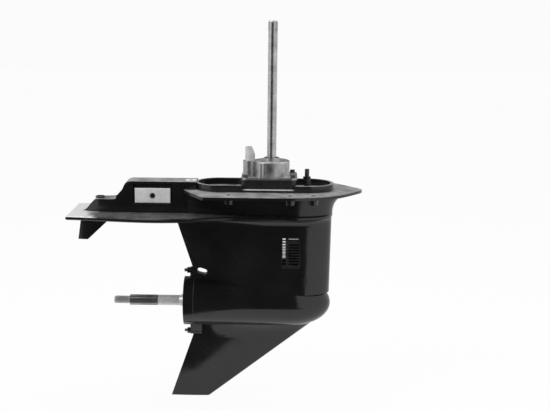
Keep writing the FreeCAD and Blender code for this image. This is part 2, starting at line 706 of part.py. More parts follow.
def cone_point(form, radius, angle):
    """Point in the plane that touches the back cone along the tooth's middle."""
    cone = form["cone"]
    apex = cone_distance() / math.cos(cone)
    forward = radius * math.cos(angle)
    return V(forward * math.cos(cone), radius * math.sin(angle), apex - forward * math.sin(cone))


def bevel_tooth(form):
    radii = [form["root"] - 0.6] + [form["root"] + (form["tip"] - form["root"]) * i / 4 for i in range(1, 5)]
    left = [cone_point(form, r, half_angle(form, r)) for r in radii]
    right = [cone_point(form, r, -half_angle(form, r)) for r in reversed(radii)]
    outer = left + right
    inner = [p * INNER_SHARE for p in outer]
    return Part.makeLoft([polygon(outer), polygon(inner)], True, True)


def bevel_blank(form, inner_level, back_level, hub_radius, hub_level):
    """Revolved body under the teeth: r and height over the apex."""
    root = cone_point(form, form["root"], 0.0)
    near = root * INNER_SHARE
    profile = [V(0, 0, inner_level), V(near.x - 4, 0, inner_level), V(near.x, 0, near.z), V(root.x, 0, root.z),
               V(root.x, 0, back_level), V(hub_radius, 0, back_level), V(hub_radius, 0, hub_level),
               V(0, 0, hub_level)]
    return Part.Face(polygon(profile)).revolve(V(0, 0, 0), Z_AXIS, 360)


def bevel_gear(form, inner_level, back_level, hub_radius, hub_level, first_angle):
    """Bevel gear with its apex at the origin and its axis up."""
    blank = bevel_blank(form, inner_level, back_level, hub_radius, hub_level)
    tooth = bevel_tooth(form)
    teeth = []
    for i in range(form["teeth"]):
        copy = tooth.copy()
        copy.rotate(V(0, 0, 0), Z_AXIS, first_angle + 360.0 * i / form["teeth"])
        teeth.append(copy)
    return blank.multiFuse(teeth).removeSplitter()


def pinion():
    near = cone_point(PINION_FORM, PINION_FORM["root"], 0.0) * INNER_SHARE
    back = cone_point(PINION_FORM, PINION_FORM["root"], 0.0).z + 2
    gear = bevel_gear(PINION_FORM, near.z, back, PINION_HUB_R, PINION_HUB_TOP, 180.0 / PINION_TEETH)
    gear = gear.cut(Part.makeCylinder(PINION_SEAT_R, 100))
    gear.translate(V(0, 0, AXIS_Z))
    return gear


def pinion_nut():
    top = AXIS_Z + cone_point(PINION_FORM, PINION_FORM["root"], 0.0).z * INNER_SHARE
    nut = hexagon_rod(24, V(0, 0, top - 8), 8, Z_AXIS)
    return nut.cut(rod_z(NUT_THREAD_R, top - 10, top + 2))


def jaw_ring(inner, outer, start, length, first_angle):
    """Ring of driving jaws standing up from a face, axis up."""
    width = 180.0 / JAWS - JAW_CLEAR_DEG
    ring = tube_z(outer, inner, start, start + length)
    jaws = []
    for i in range(JAWS):
        sector = Part.makeCylinder(outer + 1, length, V(0, 0, start), Z_AXIS, width)
        sector.rotate(V(0, 0, 0), Z_AXIS, first_angle - width / 2 + 360.0 * i / JAWS)
        jaws.append(sector)
    return ring.common(jaws[0].multiFuse(jaws[1:]))


def driven_gear(sign):
    """Forward gear for +1, reverse gear for -1; its apex lies on the driveshaft axis."""
    jaw_tip = CLUTCH_REACH + JAW_GAP
    jaw_root = jaw_tip + SHIFT_THROW - JAW_GAP + 0.5
    back = cone_point(GEAR_FORM, GEAR_FORM["root"], 0.0).z + GEAR_BACK - 4
    gear = bevel_gear(GEAR_FORM, jaw_root, back, GEAR_HUB_R, GEAR_HUB_END, 0.0)
    jaws = jaw_ring(JAW_INNER_R, CLUTCH_R, jaw_tip, jaw_root - jaw_tip + 1, 0.0)
    gear = gear.fuse(jaws).cut(Part.makeCylinder(PROP_NOSE_R + RUN_CLEAR, 100))
    gear = gear.removeSplitter()
    gear.rotate(V(0, 0, 0), Y_AXIS, sign * 90.0)
    gear.translate(V(0, 0, AXIS_Z))
    return gear


# Dog clutch, cross pin, slider and cam follower

def clutch_dog():
    core = tube_z(CLUTCH_R, PROP_NOSE_R + RUN_CLEAR, -CLUTCH_CORE, CLUTCH_CORE)
    jaw_angle = 180.0 / JAWS
    jaws = jaw_ring(JAW_INNER_R, CLUTCH_R, CLUTCH_CORE - 1, CLUTCH_REACH - CLUTCH_CORE + 1, jaw_angle)
    other = jaws.mirror(V(0, 0, 0), Z_AXIS)
    dog = fuse_all([core, jaws, other])
    dog.rotate(V(0, 0, 0), Y_AXIS, 90.0)
    dog.translate(V(0, 0, AXIS_Z))
    return dog.cut(rod_y(CROSS_PIN_R, -CLUTCH_R - 1, CLUTCH_R + 1, 0, AXIS_Z))


def cross_pin():
    return rod_y(CROSS_PIN_R, -CLUTCH_R + 0.5, CLUTCH_R - 0.5, 0, AXIS_Z)


def shift_slider():
    head_x = FOLLOWER_REAR_X + 3.6
    rod = rod_x(SLIDER_R, -CROSS_PIN_R - 4, head_x)
    head = rod_x(SLIDER_R + 3, head_x, head_x + 3.4)
    return fuse_all([rod, head]).cut(rod_y(CROSS_PIN_R, -20, 20, 0, AXIS_Z))


def cam_follower():
    body = rod_x(FOLLOWER_R, FOLLOWER_REAR_X, FOLLOWER_FRONT_X)
    neck_r = SLIDER_R + 0.4
    head_r = SLIDER_R + 3.4
    head_x = FOLLOWER_REAR_X + 3.3
    pocket = fuse_all([rod_x(neck_r, FOLLOWER_REAR_X - 1, head_x + 1),
                       block(FOLLOWER_REAR_X - 1, head_x + 1, 0, FOLLOWER_R + 1, AXIS_Z - neck_r, AXIS_Z + neck_r),
                       rod_x(head_r, head_x, head_x + 4),
                       block(head_x, head_x + 4, 0, FOLLOWER_R + 1, AXIS_Z - head_r, AXIS_Z + head_r)])
    slot_half = CRANK_PIN_R + 0.4
    slot = block(SHIFT_X - slot_half, SHIFT_X + slot_half, -FOLLOWER_R - 1, FOLLOWER_R + 1,
                 AXIS_Z - 5, AXIS_Z + FOLLOWER_R + 1)
    return body.cut(pocket).cut(slot)


def shift_shaft():
    disc_low = AXIS_Z + FOLLOWER_R + 1.5
    rod = rod_z(SHIFT_ROD_R, disc_low, SHIFT_COLLAR_LOW + 1, SHIFT_X)
    collar = rod_z(SHIFT_COLLAR_R, SHIFT_COLLAR_LOW, SHIFT_COLLAR_TOP, SHIFT_X)
    end = rod_z(SHIFT_END_R, SHIFT_COLLAR_TOP - 1, SHIFT_TOP, SHIFT_X)
    crank = rod_z(CRANK_R, disc_low, disc_low + 7, SHIFT_X)
    pin = rod_z(CRANK_PIN_R, AXIS_Z - 3, disc_low + 1, SHIFT_X, -CRANK_OFFSET)
    return fuse_all([rod, collar, end, crank, pin])


def shift_bushings():
    upper = fuse_all([tube_z(SHIFT_BORE_R, SHIFT_ROD_R + RUN_CLEAR, -16, 1, SHIFT_X),
                      tube_z(SHIFT_BORE_R + 4, SHIFT_ROD_R + RUN_CLEAR, 0, 5, SHIFT_X)])
    lower = tube_z(SHIFT_BORE_R, SHIFT_ROD_R + RUN_CLEAR, AXIS_Z + 70, AXIS_Z + 82, SHIFT_X)
    return Part.makeCompound([upper, lower])


# Shafts

def driveshaft():
    nut_end = AXIS_Z + cone_point(PINION_FORM, PINION_FORM["root"], 0.0).z * INNER_SHARE
    seat_top = AXIS_Z + PINION_HUB_TOP
    spline_low = DRIVESHAFT_TOP - INPUT_SPLINE_LENGTH
    pieces = [rod_z(NUT_THREAD_R, nut_end - 8.8, nut_end + 1),
              rod_z(PINION_SEAT_R, nut_end, seat_top),
              rod_z(PINION_JOURNAL_R, seat_top, PINION_BEARING_TOP + 4),
              Part.makeCone(PINION_JOURNAL_R, DRIVESHAFT_R, 5, V(0, 0, PINION_BEARING_TOP + 4), Z_AXIS),
              rod_z(DRIVESHAFT_R, PINION_BEARING_TOP + 8, spline_low),
              rod_z(DRIVESHAFT_R + 4.4, UPPER_BEARING_LOW + UPPER_BEARING_LENGTH + 0.6,
                    UPPER_BEARING_LOW + UPPER_BEARING_LENGTH + 4),
              rod_z(INPUT_SPLINE_R, spline_low - 1, DRIVESHAFT_TOP - 3),
              Part.makeCone(INPUT_SPLINE_R, INPUT_SPLINE_R - 2.5, 3, V(0, 0, DRIVESHAFT_TOP - 3), Z_AXIS)]
    shaft = fuse_all(pieces)
    return shaft.cut(key_block())


def key_block():
    return block(DRIVESHAFT_R - 2, DRIVESHAFT_R + 2, -2, 2, PUMP_BODY_LOW + 2, PUMP_BODY_LOW + 14)


def propeller_shaft():
    flare = CARRIER_REAR_X - 13
    pieces = [rod_x(PROP_THREAD_R, PROP_SHAFT_REAR_X + 2, PROP_SPLINE_REAR_X + 1),
              Part.makeCone(PROP_THREAD_R - 1.5, PROP_THREAD_R, 2, V(PROP_SHAFT_REAR_X, 0, AXIS_Z), X_AXIS),
              rod_x(PROP_SPLINE_R, PROP_SPLINE_REAR_X, PROP_SPLINE_FRONT_X),
              rod_x(PROP_SHAFT_R, PROP_SPLINE_FRONT_X, flare + 1),
              Part.makeCone(PROP_SHAFT_R, CARRIER_JOURNAL_R + 2, 13, V(flare, 0, AXIS_Z), X_AXIS),
              rod_x(CARRIER_JOURNAL_R + 2, flare + 13, CARRIER_REAR_X + 9),
              rod_x(CARRIER_JOURNAL_R, CARRIER_REAR_X + 8, CARRIER_WEB_FRONT_X + 1),
              rod_x(CARRIER_JOURNAL_R + 5, CARRIER_WEB_FRONT_X + SEAT_CLEAR, -GEAR_HUB_END - SEAT_CLEAR),
              rod_x(PROP_NOSE_R, -GEAR_HUB_END - 1, PROP_SHAFT_FRONT_X)]
    shaft = fuse_all(pieces)
    slot_reach = CROSS_PIN_R + SHIFT_THROW + 0.4
    pin_slot = block(-slot_reach, slot_reach, -PROP_NOSE_R - 1, PROP_NOSE_R + 1,
                     AXIS_Z - CROSS_PIN_R - 0.1, AXIS_Z + CROSS_PIN_R + 0.1)
    bore = rod_x(SLIDER_R + SLIDE_CLEAR, -14, PROP_SHAFT_FRONT_X + 1)
    return shaft.cut(bore).cut(pin_slot)


# Bearings and seals

def roller_ring(x0, x1, radius, z=AXIS_Z):
    rollers = []
    for i in range(ROLLERS):
        turn = 2 * math.pi * i / ROLLERS
        rollers.append(rod_x(ROLLER_R, x0, x1, radius * math.sin(turn), z + radius * math.cos(turn)))
    return Part.makeCompound(rollers)


def ball_ring(x, radius):
    balls = []
    for i in range(ROLLERS):
        turn = 2 * math.pi * i / ROLLERS
        balls.append(Part.makeSphere(ROLLER_R, V(x, radius * math.sin(turn), AXIS_Z + radius * math.cos(turn))))
    return Part.makeCompound(balls)


def forward_bearing_cup():
    return tube_x(BEARING_CUP_R, BEARING_CUP_R - CUP_WALL, CHAMBER_FRONT_X + 1, FRONT_CUP_END_X)


def forward_bearing_cone():
    return tube_x(BEARING_CONE_R, GEAR_HUB_R, CHAMBER_FRONT_X + 1.5, FRONT_CUP_END_X)


def forward_bearing_rollers():
    middle = (BEARING_CONE_R + BEARING_CUP_R - CUP_WALL) / 2
    return roller_ring(CHAMBER_FRONT_X + 4, FRONT_CUP_END_X - 3, middle)


def reverse_bearing_cup():
    return tube_x(REVERSE_CUP_R, REVERSE_CUP_R - CUP_WALL + 2, -FRONT_CUP_END_X + 1, -CHAMBER_FRONT_X - 3)


def reverse_bearing_cone():
    return tube_x(BEARING_CONE_R, GEAR_HUB_R, -FRONT_CUP_END_X + 1, -CHAMBER_FRONT_X - 3)


def reverse_bearing_balls():
    middle = (BEARING_CONE_R + REVERSE_CUP_R - CUP_WALL + 2) / 2
    return ball_ring((-FRONT_CUP_END_X - CHAMBER_FRONT_X - 2) / 2, middle)


def pinion_bearing():
    return tube_z(PINION_BEARING_R, PINION_JOURNAL_R + RUN_CLEAR, PINION_BEARING_LOW, PINION_BEARING_TOP)


def upper_bearing_cup():
    return tube_z(UPPER_BEARING_R, UPPER_BEARING_R - 3, UPPER_BEARING_LOW,
                  UPPER_BEARING_LOW + UPPER_BEARING_LENGTH)


def upper_bearing_cone():
    return tube_z(DRIVESHAFT_R + 5, DRIVESHAFT_R, UPPER_BEARING_LOW + 2,
                  UPPER_BEARING_LOW + UPPER_BEARING_LENGTH)


def upper_bearing_rollers():
    middle = (DRIVESHAFT_R + 5 + UPPER_BEARING_R - 3) / 2
    rollers = []
    for i in range(ROLLERS):
        turn = 2 * math.pi * i / ROLLERS
        rollers.append(rod_z(ROLLER_R, UPPER_BEARING_LOW + 4, UPPER_BEARING_LOW + UPPER_BEARING_LENGTH - 3,
                             middle * math.cos(turn), middle * math.sin(turn)))
    return Part.makeCompound(rollers)


def bearing_retainer():
    low = UPPER_BEARING_LOW + UPPER_BEARING_LENGTH
    body = rod_z(UPPER_BEARING_R, low, PAD_TOP)
    return cut_all(body, [rod_z(DRIVESHAFT_R + 5, low - 1, low + 6),
                          rod_z(DRIVESHAFT_R + 2, low, PAD_TOP + 1),
                          rod_z(SHAFT_SEAL_R, low + 12, PAD_TOP + 1)])


def driveshaft_seals():
    low = UPPER_BEARING_LOW + UPPER_BEARING_LENGTH + 12
    return Part.makeCompound([tube_z(SHAFT_SEAL_R, DRIVESHAFT_R + RUN_CLEAR, low, low + 8),
                              tube_z(SHAFT_SEAL_R, DRIVESHAFT_R + RUN_CLEAR, low + 10, low + 18)])


# Bearing carrier and what it holds

def lug_shape(sign, x0, length):
    """Ear round a carrier stud and its web down to the torpedo."""
    top = AXIS_Z + sign * LUG_RADIUS
    root = AXIS_Z + sign * (TORPEDO_R - 8)
    ear = rod_x(LUG_EAR_R, x0, x0 + length, 0, top)
    web = prism_x([(-16, root), (16, root), (LUG_EAR_R, top), (-LUG_EAR_R, top)], x0, x0 + length)
    return [ear, web]


def prism_x(yz, x0, x1):
    face = Part.Face(polygon([V(x0, y, z) for y, z in yz]))
    return face.extrude(V(x1 - x0, 0, 0))


def bearing_carrier():
    fit = CHAMBER_R
    rim_inner = fit - 5
    pieces = [tube_x(fit, REVERSE_CUP_R, CARRIER_WEB_FRONT_X - 1, -CHAMBER_FRONT_X - 3),
              rod_x(fit, CARRIER_WEB_REAR_X, CARRIER_WEB_FRONT_X),
              rod_x(CARRIER_HUB_R, CARRIER_REAR_X + 8, CARRIER_WEB_REAR_X + 1),
              tube_x(TORPEDO_R, rim_inner, CARRIER_REAR_X, TORPEDO_REAR_X),
              tube_x(fit, rim_inner, TORPEDO_REAR_X - 1, TORPEDO_REAR_X + 24)]
    for i in range(CARRIER_SPOKES):
        spoke = block(CARRIER_WEB_REAR_X - 6, CARRIER_REAR_X + 12, -4, 4, CARRIER_HUB_R - 4, rim_inner + 2)
        spoke.rotate(V(0, 0, 0), X_AXIS, 45 + 360.0 * i / CARRIER_SPOKES)
        spoke.translate(V(0, 0, AXIS_Z))
        pieces.append(spoke)
    for sign in (1, -1):
        pieces += lug_shape(sign, TORPEDO_REAR_X - LUG_THICK, LUG_THICK)
    body = fuse_all(pieces)
    tools = [rod_x(CARRIER_JOURNAL_R + 1, CARRIER_REAR_X, CARRIER_WEB_FRONT_X + 5)]
    for x0, x1 in carrier_bearing_spans():
        tools.append(rod_x(CARRIER_BEARING_R, x0, x1))
    tools.append(rod_x(CARRIER_BEARING_R, CARRIER_REAR_X, CARRIER_REAR_X + 24))
    tools.append(tube_x(fit + 2, fit - 2.5, CARRIER_WEB_REAR_X + 11, CARRIER_WEB_REAR_X + 15))
    for sign in (1, -1):
        tools.append(rod_x(CARRIER_STUD_R, CARRIER_REAR_X, TORPEDO_REAR_X + 1, 0, AXIS_Z + sign * LUG_RADIUS))
    return cut_all(body, tools).removeSplitter()


def carrier_bearing_spans():
    aft = CARRIER_REAR_X + 24
    return [(CARRIER_WEB_REAR_X, CARRIER_WEB_REAR_X + 24), (aft, aft + 26)]


def carrier_bearings():
    rings = [tube_x(CARRIER_BEARING_R, CARRIER_JOURNAL_R + RUN_CLEAR, x0, x1) for x0, x1 in carrier_bearing_spans()]
    return Part.makeCompound(rings)


def propeller_shaft_seals():
    start = CARRIER_REAR_X + 10
    return Part.makeCompound([tube_x(CARRIER_BEARING_R, CARRIER_JOURNAL_R + RUN_CLEAR, start, start + 6),
                              tube_x(CARRIER_BEARING_R, CARRIER_JOURNAL_R + RUN_CLEAR, start + 7, start + 13)])


def carrier_o_ring():
    return Part.makeTorus(CHAMBER_R - 1.4, 1.1, V(CARRIER_WEB_REAR_X + 13, 0, AXIS_Z), X_AXIS)


def carrier_studs():
    x0 = TORPEDO_REAR_X - LUG_THICK - 15
    return Part.makeCompound([rod_x(CARRIER_STUD_R, x0, CARRIER_STUD_END_X, 0, AXIS_Z + s * LUG_RADIUS)
                              for s in (1, -1)])


def carrier_nuts():
    nuts = []
    for sign in (1, -1):
        seat = V(TORPEDO_REAR_X - LUG_THICK, 0, AXIS_Z + sign * LUG_RADIUS)
        nut = hexagon_rod(13, seat, 8, V(-1, 0, 0))
        nuts.append(nut.cut(rod_x(CARRIER_STUD_R, seat.x - 10, seat.x + 2, 0, seat.z)))
    return Part.makeCompound(nuts)


# Water pump, from the deck up

def pump_face_plate():
    plate = rounded_block(PUMP_REAR_X + 2, PUMP_FRONT_X - 2, PUMP_HALF + 3, 14, PAD_TOP, PUMP_BODY_LOW)
    tools = [rod_z(DRIVESHAFT_R + 2, 0, 20), rod_z(WATER_BORE_R, 0, 20, WATER_BORE_X)]
    for x, y in pump_bolt_places():
        tools.append(rod_z(PUMP_BOLT_R, 0, 20, x, y))
    return cut_all(plate, tools)


def pump_body():
    """Black impeller housing that carries the liner."""
    body = rounded_block(PUMP_REAR_X, PUMP_FRONT_X, PUMP_HALF, 12, PUMP_BODY_LOW, PUMP_BODY_TOP)
    tools = [rod_z(IMPELLER_R + 4, PUMP_BODY_LOW - 1, PUMP_BODY_TOP - 3),
             rod_z(DRIVESHAFT_R + 3, 0, 50),
             rod_z(WATER_BORE_R, 0, PUMP_BODY_LOW + 9, WATER_BORE_X),
             rod_z(OUTLET_R - 11, PUMP_BODY_LOW + 8, 50, OUTLET_X)]
    for x, y in pump_bolt_places():
        tools.append(rod_z(PUMP_BOLT_R, 0, 50, x, y))
    return cut_all(body, tools)


def pump_liner():
    cup = rod_z(IMPELLER_R + 4, PUMP_BODY_LOW, PUMP_BODY_TOP - 3)
    return cup.cut(rod_z(IMPELLER_R + 1.5, PUMP_BODY_LOW - 1, PUMP_BODY_TOP - 5)).cut(rod_z(DRIVESHAFT_R + 3, 0, 50))


def impeller():
    low = PUMP_BODY_LOW + 1
    top = PUMP_BODY_TOP - 6
    hub = rod_z(DRIVESHAFT_R + 6, low, top)
    vanes = []
    for i in range(IMPELLER_VANES):
        vane = block(DRIVESHAFT_R + 4, IMPELLER_R, -2, 2, low, top)
        tip = rod_z(3, low, top, IMPELLER_R - 3)
        both = vane.fuse(tip)
        both.rotate(V(0, 0, 0), Z_AXIS, 360.0 * i / IMPELLER_VANES + 15)
        vanes.append(both)
    wheel = fuse_all([hub] + vanes)
    return wheel.cut(rod_z(DRIVESHAFT_R, 0, 50)).cut(key_block())


def pump_cover():
    """Bright cast housing over the pump with its water outlet boss."""
    flange = rounded_block(PUMP_REAR_X + 2, PUMP_FRONT_X + 3, PUMP_HALF - 4, 14, PUMP_BODY_TOP,
                           PUMP_BODY_TOP + PUMP_FLANGE_THICK)
    dome = rod_z(PUMP_COVER_R, PUMP_BODY_TOP, PUMP_COVER_TOP)
    crown = [e for e in dome.Edges if e.BoundBox.ZMin > PUMP_COVER_TOP - 0.1]
    dome = dome.makeFillet(3.0, crown)
    boss = rod_z(OUTLET_R, PUMP_BODY_TOP, PUMP_COVER_TOP, OUTLET_X, OUTLET_Y)
    bosses = [rod_z(8, PUMP_BODY_TOP, PUMP_COVER_TOP - 4, sx * 24, sy * 37) for sx, sy in ((-1, -1), (-1, 1))]
    spigot = rod_z(DRIVESHAFT_R + 8, PUMP_COVER_TOP - 1, SPIGOT_TOP)
    body = fuse_all([flange, dome, boss, spigot] + bosses)
    tools = [rod_z(PUMP_COVER_R - 6, PUMP_BODY_TOP - 1, PUMP_COVER_TOP - 6),
             rod_z(DRIVESHAFT_R + 2, 0, SPIGOT_TOP + 5),
             rod_z(DRIVESHAFT_R + 5, SPIGOT_TOP - 8, SPIGOT_TOP + 5),
             rod_z(TUBE_R + 1, PUMP_BODY_TOP - 1, PUMP_COVER_TOP + 5, OUTLET_X, OUTLET_Y)]
    for x, y in pump_bolt_places():
        tools.append(rod_z(PUMP_BOLT_R, 0, 50, x, y))
    return cut_all(body, tools).removeSplitter()


def pump_cover_seal():
    return tube_z(DRIVESHAFT_R + 5, DRIVESHAFT_R + RUN_CLEAR, SPIGOT_TOP - 8, SPIGOT_TOP - 1)


def water_tube_grommet():
    """Guide sleeve on the outlet, cut off steeply on its forward side."""
    low = PUMP_COVER_TOP
    seat_low = low - 12
    body = rod_z(SLEEVE_R, low, SLEEVE_TOP, OUTLET_X, OUTLET_Y)
    stub = rod_z(TUBE_R + 1, seat_low, low + 1, OUTLET_X, OUTLET_Y)
    bore = rod_z(TUBE_R, seat_low - 1, SLEEVE_TOP + 1, OUTLET_X, OUTLET_Y)
    mouth = rod_z(SLEEVE_R - 2.5, seat_low + TUBE_SEAT, SLEEVE_TOP + 1, OUTLET_X, OUTLET_Y)
    slant = prism_y([(OUTLET_X + 3, SLEEVE_TOP + 1), (OUTLET_X + 13, low + 13), (OUTLET_X + 20, low + 13),
                     (OUTLET_X + 20, SLEEVE_TOP + 1)], -60, 60)
    return fuse_all([body, stub]).cut(bore).cut(mouth).cut(slant)


def pump_bolts():
    bolts = []
    for x, y in pump_bolt_places():
        seat = PUMP_BODY_TOP + PUMP_FLANGE_THICK
        shank = rod_z(PUMP_BOLT_R, PUMP_BOLT_LOW + 2, seat, x, y)
        head = hexagon_rod(12, V(x, y, seat), 6, Z_AXIS)
        bolts.append(fuse_all([shank, head]))
    return Part.makeCompound(bolts)


# Side anodes, inlet screens, trim tab and plugs

def side_anode(side):
    x, z = anode_centre()
    inner = TAIL_HALF + ANODE_PROUD - ANODE_THICK
    outer = TAIL_HALF + ANODE_PROUD
    plate = block(ANODE_REAR_X, ANODE_REAR_X + ANODE_LENGTH, side * inner, side * outer,
                  ANODE_TOP - ANODE_HEIGHT, ANODE_TOP)
    rim = [e for e in plate.Edges if abs(e.BoundBox.YMin - side * outer) < 0.01
           and abs(e.BoundBox.YMax - side * outer) < 0.01]
    plate = plate.makeChamfer(1.5, rim)
    hole = rod_y(ANODE_SCREW_R, -60, 60, x, z)
    sink = rod_y(7.5, outer - 3, outer + 5, x, z) if side > 0 else rod_y(7.5, -outer - 5, -outer + 3, x, z)
    return plate.cut(hole).cut(sink)


def anode_screws():
    x, z = anode_centre()
    outer = TAIL_HALF + ANODE_PROUD
    screws = []
    for side in (1, -1):
        seat = side * (outer - 3)
        tip = side * (outer - 24)
        shank = rod_y(ANODE_SCREW_R, min(seat, tip), max(seat, tip), x, z)
        head = hexagon_rod(10, V(x, seat, z), 4, V(0, side, 0))
        screws.append(fuse_all([shank, head]))
    return Part.makeCompound(screws)


def inlet_screen(side):
    """Slotted plate let into the strut's side over the water pocket."""
    low = INLET_TOP - INLET_HEIGHT
    y1 = STRUT_HALF - SCREEN_DEPTH
    y0 = y1 - SCREEN_THICK
    plate = block(INLET_X, INLET_X + INLET_LENGTH, side * y0, side * y1, low, INLET_TOP)
    short = (INLET_X + 2.5, INLET_X + INLET_THROUGH - 2)
    wide = (INLET_X + INLET_THROUGH + 4, INLET_X + INLET_LENGTH - 4)
    tools = []
    for i in range(SCREEN_ROWS):
        z = INLET_TOP - SCREEN_PITCH * (i + 1)
        for x0, x1 in (short, wide):
            tools.append(block(x0, x1, -60, 60, z - SCREEN_SLOT / 2, z + SCREEN_SLOT / 2))
    return cut_all(plate, tools)


def trim_tab():
    """Fin below the plate on a round seat, turned to balance the steering."""
    fin_top = TAB_TOP - TAB_DISC_THICK / 2
    fin = prism_y([(TAB_TOP_FRONT_X, fin_top), (TAB_TOP_REAR_X, fin_top), (TAB_BOTTOM_REAR_X, TAB_BOTTOM),
                   (TAB_BOTTOM_FRONT_X, TAB_BOTTOM)], -TAB_HALF, TAB_HALF)
    plan = Part.Wire([spline([V(TAB_TOP_FRONT_X + 1, 0, 0), V(TAB_BOLT_X - 5, TAB_HALF, 0),
                              V(TAB_BOTTOM_REAR_X - 1, 1.2, 0)]),
                      line(V(TAB_BOTTOM_REAR_X - 1, 1.2, 0), V(TAB_BOTTOM_REAR_X - 1, -1.2, 0)),
                      spline([V(TAB_BOTTOM_REAR_X - 1, -1.2, 0), V(TAB_BOLT_X - 5, -TAB_HALF, 0),
                              V(TAB_TOP_FRONT_X + 1, 0, 0)])])
    column = Part.Face(plan).extrude(V(0, 0, 200))
    column.translate(V(0, 0, -200))
    fin = fin.common(column)
    disc = Part.makeCone(TAB_DISC_R - 5, TAB_DISC_R, TAB_DISC_THICK, V(TAB_BOLT_X, 0, TAB_TOP - TAB_DISC_THICK))
    stem = rod_z(TAB_STEM_R, TAB_TOP - 1, TAB_STEM_TOP, TAB_BOLT_X)
    body = fuse_all([fin, disc, stem])
    return body.cut(rod_z(TAB_BOLT_R + RUN_CLEAR, TAB_TOP - 4, TAB_STEM_TOP + 1, TAB_BOLT_X))


def trim_tab_bolt():
    shank = rod_z(TAB_BOLT_R, TAB_TOP - 3, TAB_HEAD_Z, TAB_BOLT_X)
    head = hexagon_rod(13, V(TAB_BOLT_X, 0, TAB_HEAD_Z), 9, Z_AXIS)
    return fuse_all([shank, head])


def oil_plug(index):
    x, seat, z, depth = plug_places()[index]
    shank = rod_y(PLUG_R, seat - depth + 2, seat, x, z)
    head = rod_y(PLUG_HEAD_R, seat, seat + 4, x, z)
    return fuse_all([shank, head])


def build():
    return {
        "gear_housing": gear_housing(),
        "side_anode_starboard": side_anode(-1),
        "side_anode_port": side_anode(1),
        "anode_screws": anode_screws(),
        "inlet_screen_starboard": inlet_screen(-1),
        "inlet_screen_port": inlet_screen(1),
        "pump_face_plate": pump_face_plate(),
        "pump_body": pump_body(),
        "pump_liner": pump_liner(),
        "pump_cover": pump_cover(),
        "pump_cover_seal": pump_cover_seal(),
        "water_tube_grommet": water_tube_grommet(),
        "pump_bolts": pump_bolts(),
        "impeller": impeller(),
        "impeller_key": key_block(),
        "driveshaft": driveshaft(),
        "pinion": pinion(),
        "pinion_nut": pinion_nut(),
        "pinion_bearing": pinion_bearing(),
        "upper_bearing_cup": upper_bearing_cup(),
        "upper_bearing_cone": upper_bearing_cone(),
        "upper_bearing_rollers": upper_bearing_rollers(),
        "bearing_retainer": bearing_retainer(),
        "driveshaft_seals": driveshaft_seals(),
        "forward_gear": driven_gear(1),
        "forward_bearing_cup": forward_bearing_cup(),
        "forward_bearing_cone": forward_bearing_cone(),
        "forward_bearing_rollers": forward_bearing_rollers(),
        "reverse_gear": driven_gear(-1),
        "reverse_bearing_cup": reverse_bearing_cup(),
        "reverse_bearing_cone": reverse_bearing_cone(),
        "reverse_bearing_balls": reverse_bearing_balls(),
        "clutch_dog": clutch_dog(),
        "cross_pin": cross_pin(),
        "shift_slider": shift_slider(),
        "cam_follower": cam_follower(),
        "shift_shaft": shift_shaft(),
        "shift_bushings": shift_bushings(),
        "propeller_shaft": propeller_shaft(),
        "bearing_carrier": bearing_carrier(),
        "carrier_bearings": carrier_bearings(),
        "propeller_shaft_seals": propeller_shaft_seals(),
        "carrier_o_ring": carrier_o_ring(),
        "carrier_studs": carrier_studs(),
        "carrier_nuts": carrier_nuts(),
        "trim_tab": trim_tab(),
        "trim_tab_bolt": trim_tab_bolt(),
        "drain_plug": oil_plug(0),
        "level_plug": oil_plug(1),
    }


os.makedirs("parts", exist_ok=True)
for name, shape in build().items():
    print(name, "solids", len(shape.Solids), "valid", shape.isValid(), "volume", round(shape.Volume))
    shape.exportStep("parts/" + name + ".step")
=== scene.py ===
import json
import math

import bmesh
import bpy
from mathutils import Matrix, Vector

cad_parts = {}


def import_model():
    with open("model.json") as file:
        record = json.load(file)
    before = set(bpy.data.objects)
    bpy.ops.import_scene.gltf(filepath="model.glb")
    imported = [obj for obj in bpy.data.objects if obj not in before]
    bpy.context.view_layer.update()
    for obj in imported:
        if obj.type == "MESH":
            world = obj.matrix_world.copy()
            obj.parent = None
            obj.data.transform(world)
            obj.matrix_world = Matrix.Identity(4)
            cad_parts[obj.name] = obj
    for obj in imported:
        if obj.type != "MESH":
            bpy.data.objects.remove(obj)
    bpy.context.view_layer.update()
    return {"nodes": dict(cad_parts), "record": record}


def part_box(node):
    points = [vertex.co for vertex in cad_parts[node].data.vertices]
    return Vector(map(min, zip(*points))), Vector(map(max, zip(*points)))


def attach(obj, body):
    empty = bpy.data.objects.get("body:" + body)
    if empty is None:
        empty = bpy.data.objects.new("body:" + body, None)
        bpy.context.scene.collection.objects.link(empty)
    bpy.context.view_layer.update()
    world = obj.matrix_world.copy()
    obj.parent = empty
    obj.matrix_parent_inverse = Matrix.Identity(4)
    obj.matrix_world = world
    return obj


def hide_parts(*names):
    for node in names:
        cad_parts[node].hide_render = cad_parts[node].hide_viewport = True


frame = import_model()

NODES = frame["nodes"]
MM = 0.001

# Camera of the photograph, in metres and degrees
CAMERA_PLACE = Vector((0.0098, -2.460, 0.430))
CAMERA_PITCH = 10.87
CAMERA_ROLL = 0.70
CAMERA_REACH = 60.0
FOCAL_PIXELS = 1020.0
IMAGE_WIDTH = 550.0
SENSOR_WIDTH = 36.0

# Studio: share of white in floor and backdrop, floor size, soft world light, lamp powers in watts
FLOOR_WHITE = 0.95
FLOOR_TONE = 0.85
FLOOR_REACH = 14.0
FLOOR_DROP = 2 * MM
BACKDROP_WHITE = 0.965
WORLD_COLOUR = (0.75, 0.75, 0.76)
WORLD_STRENGTH = 0.55
TOP_WATTS = 26
RIGHT_WATTS = 12
LEFT_WATTS = 15

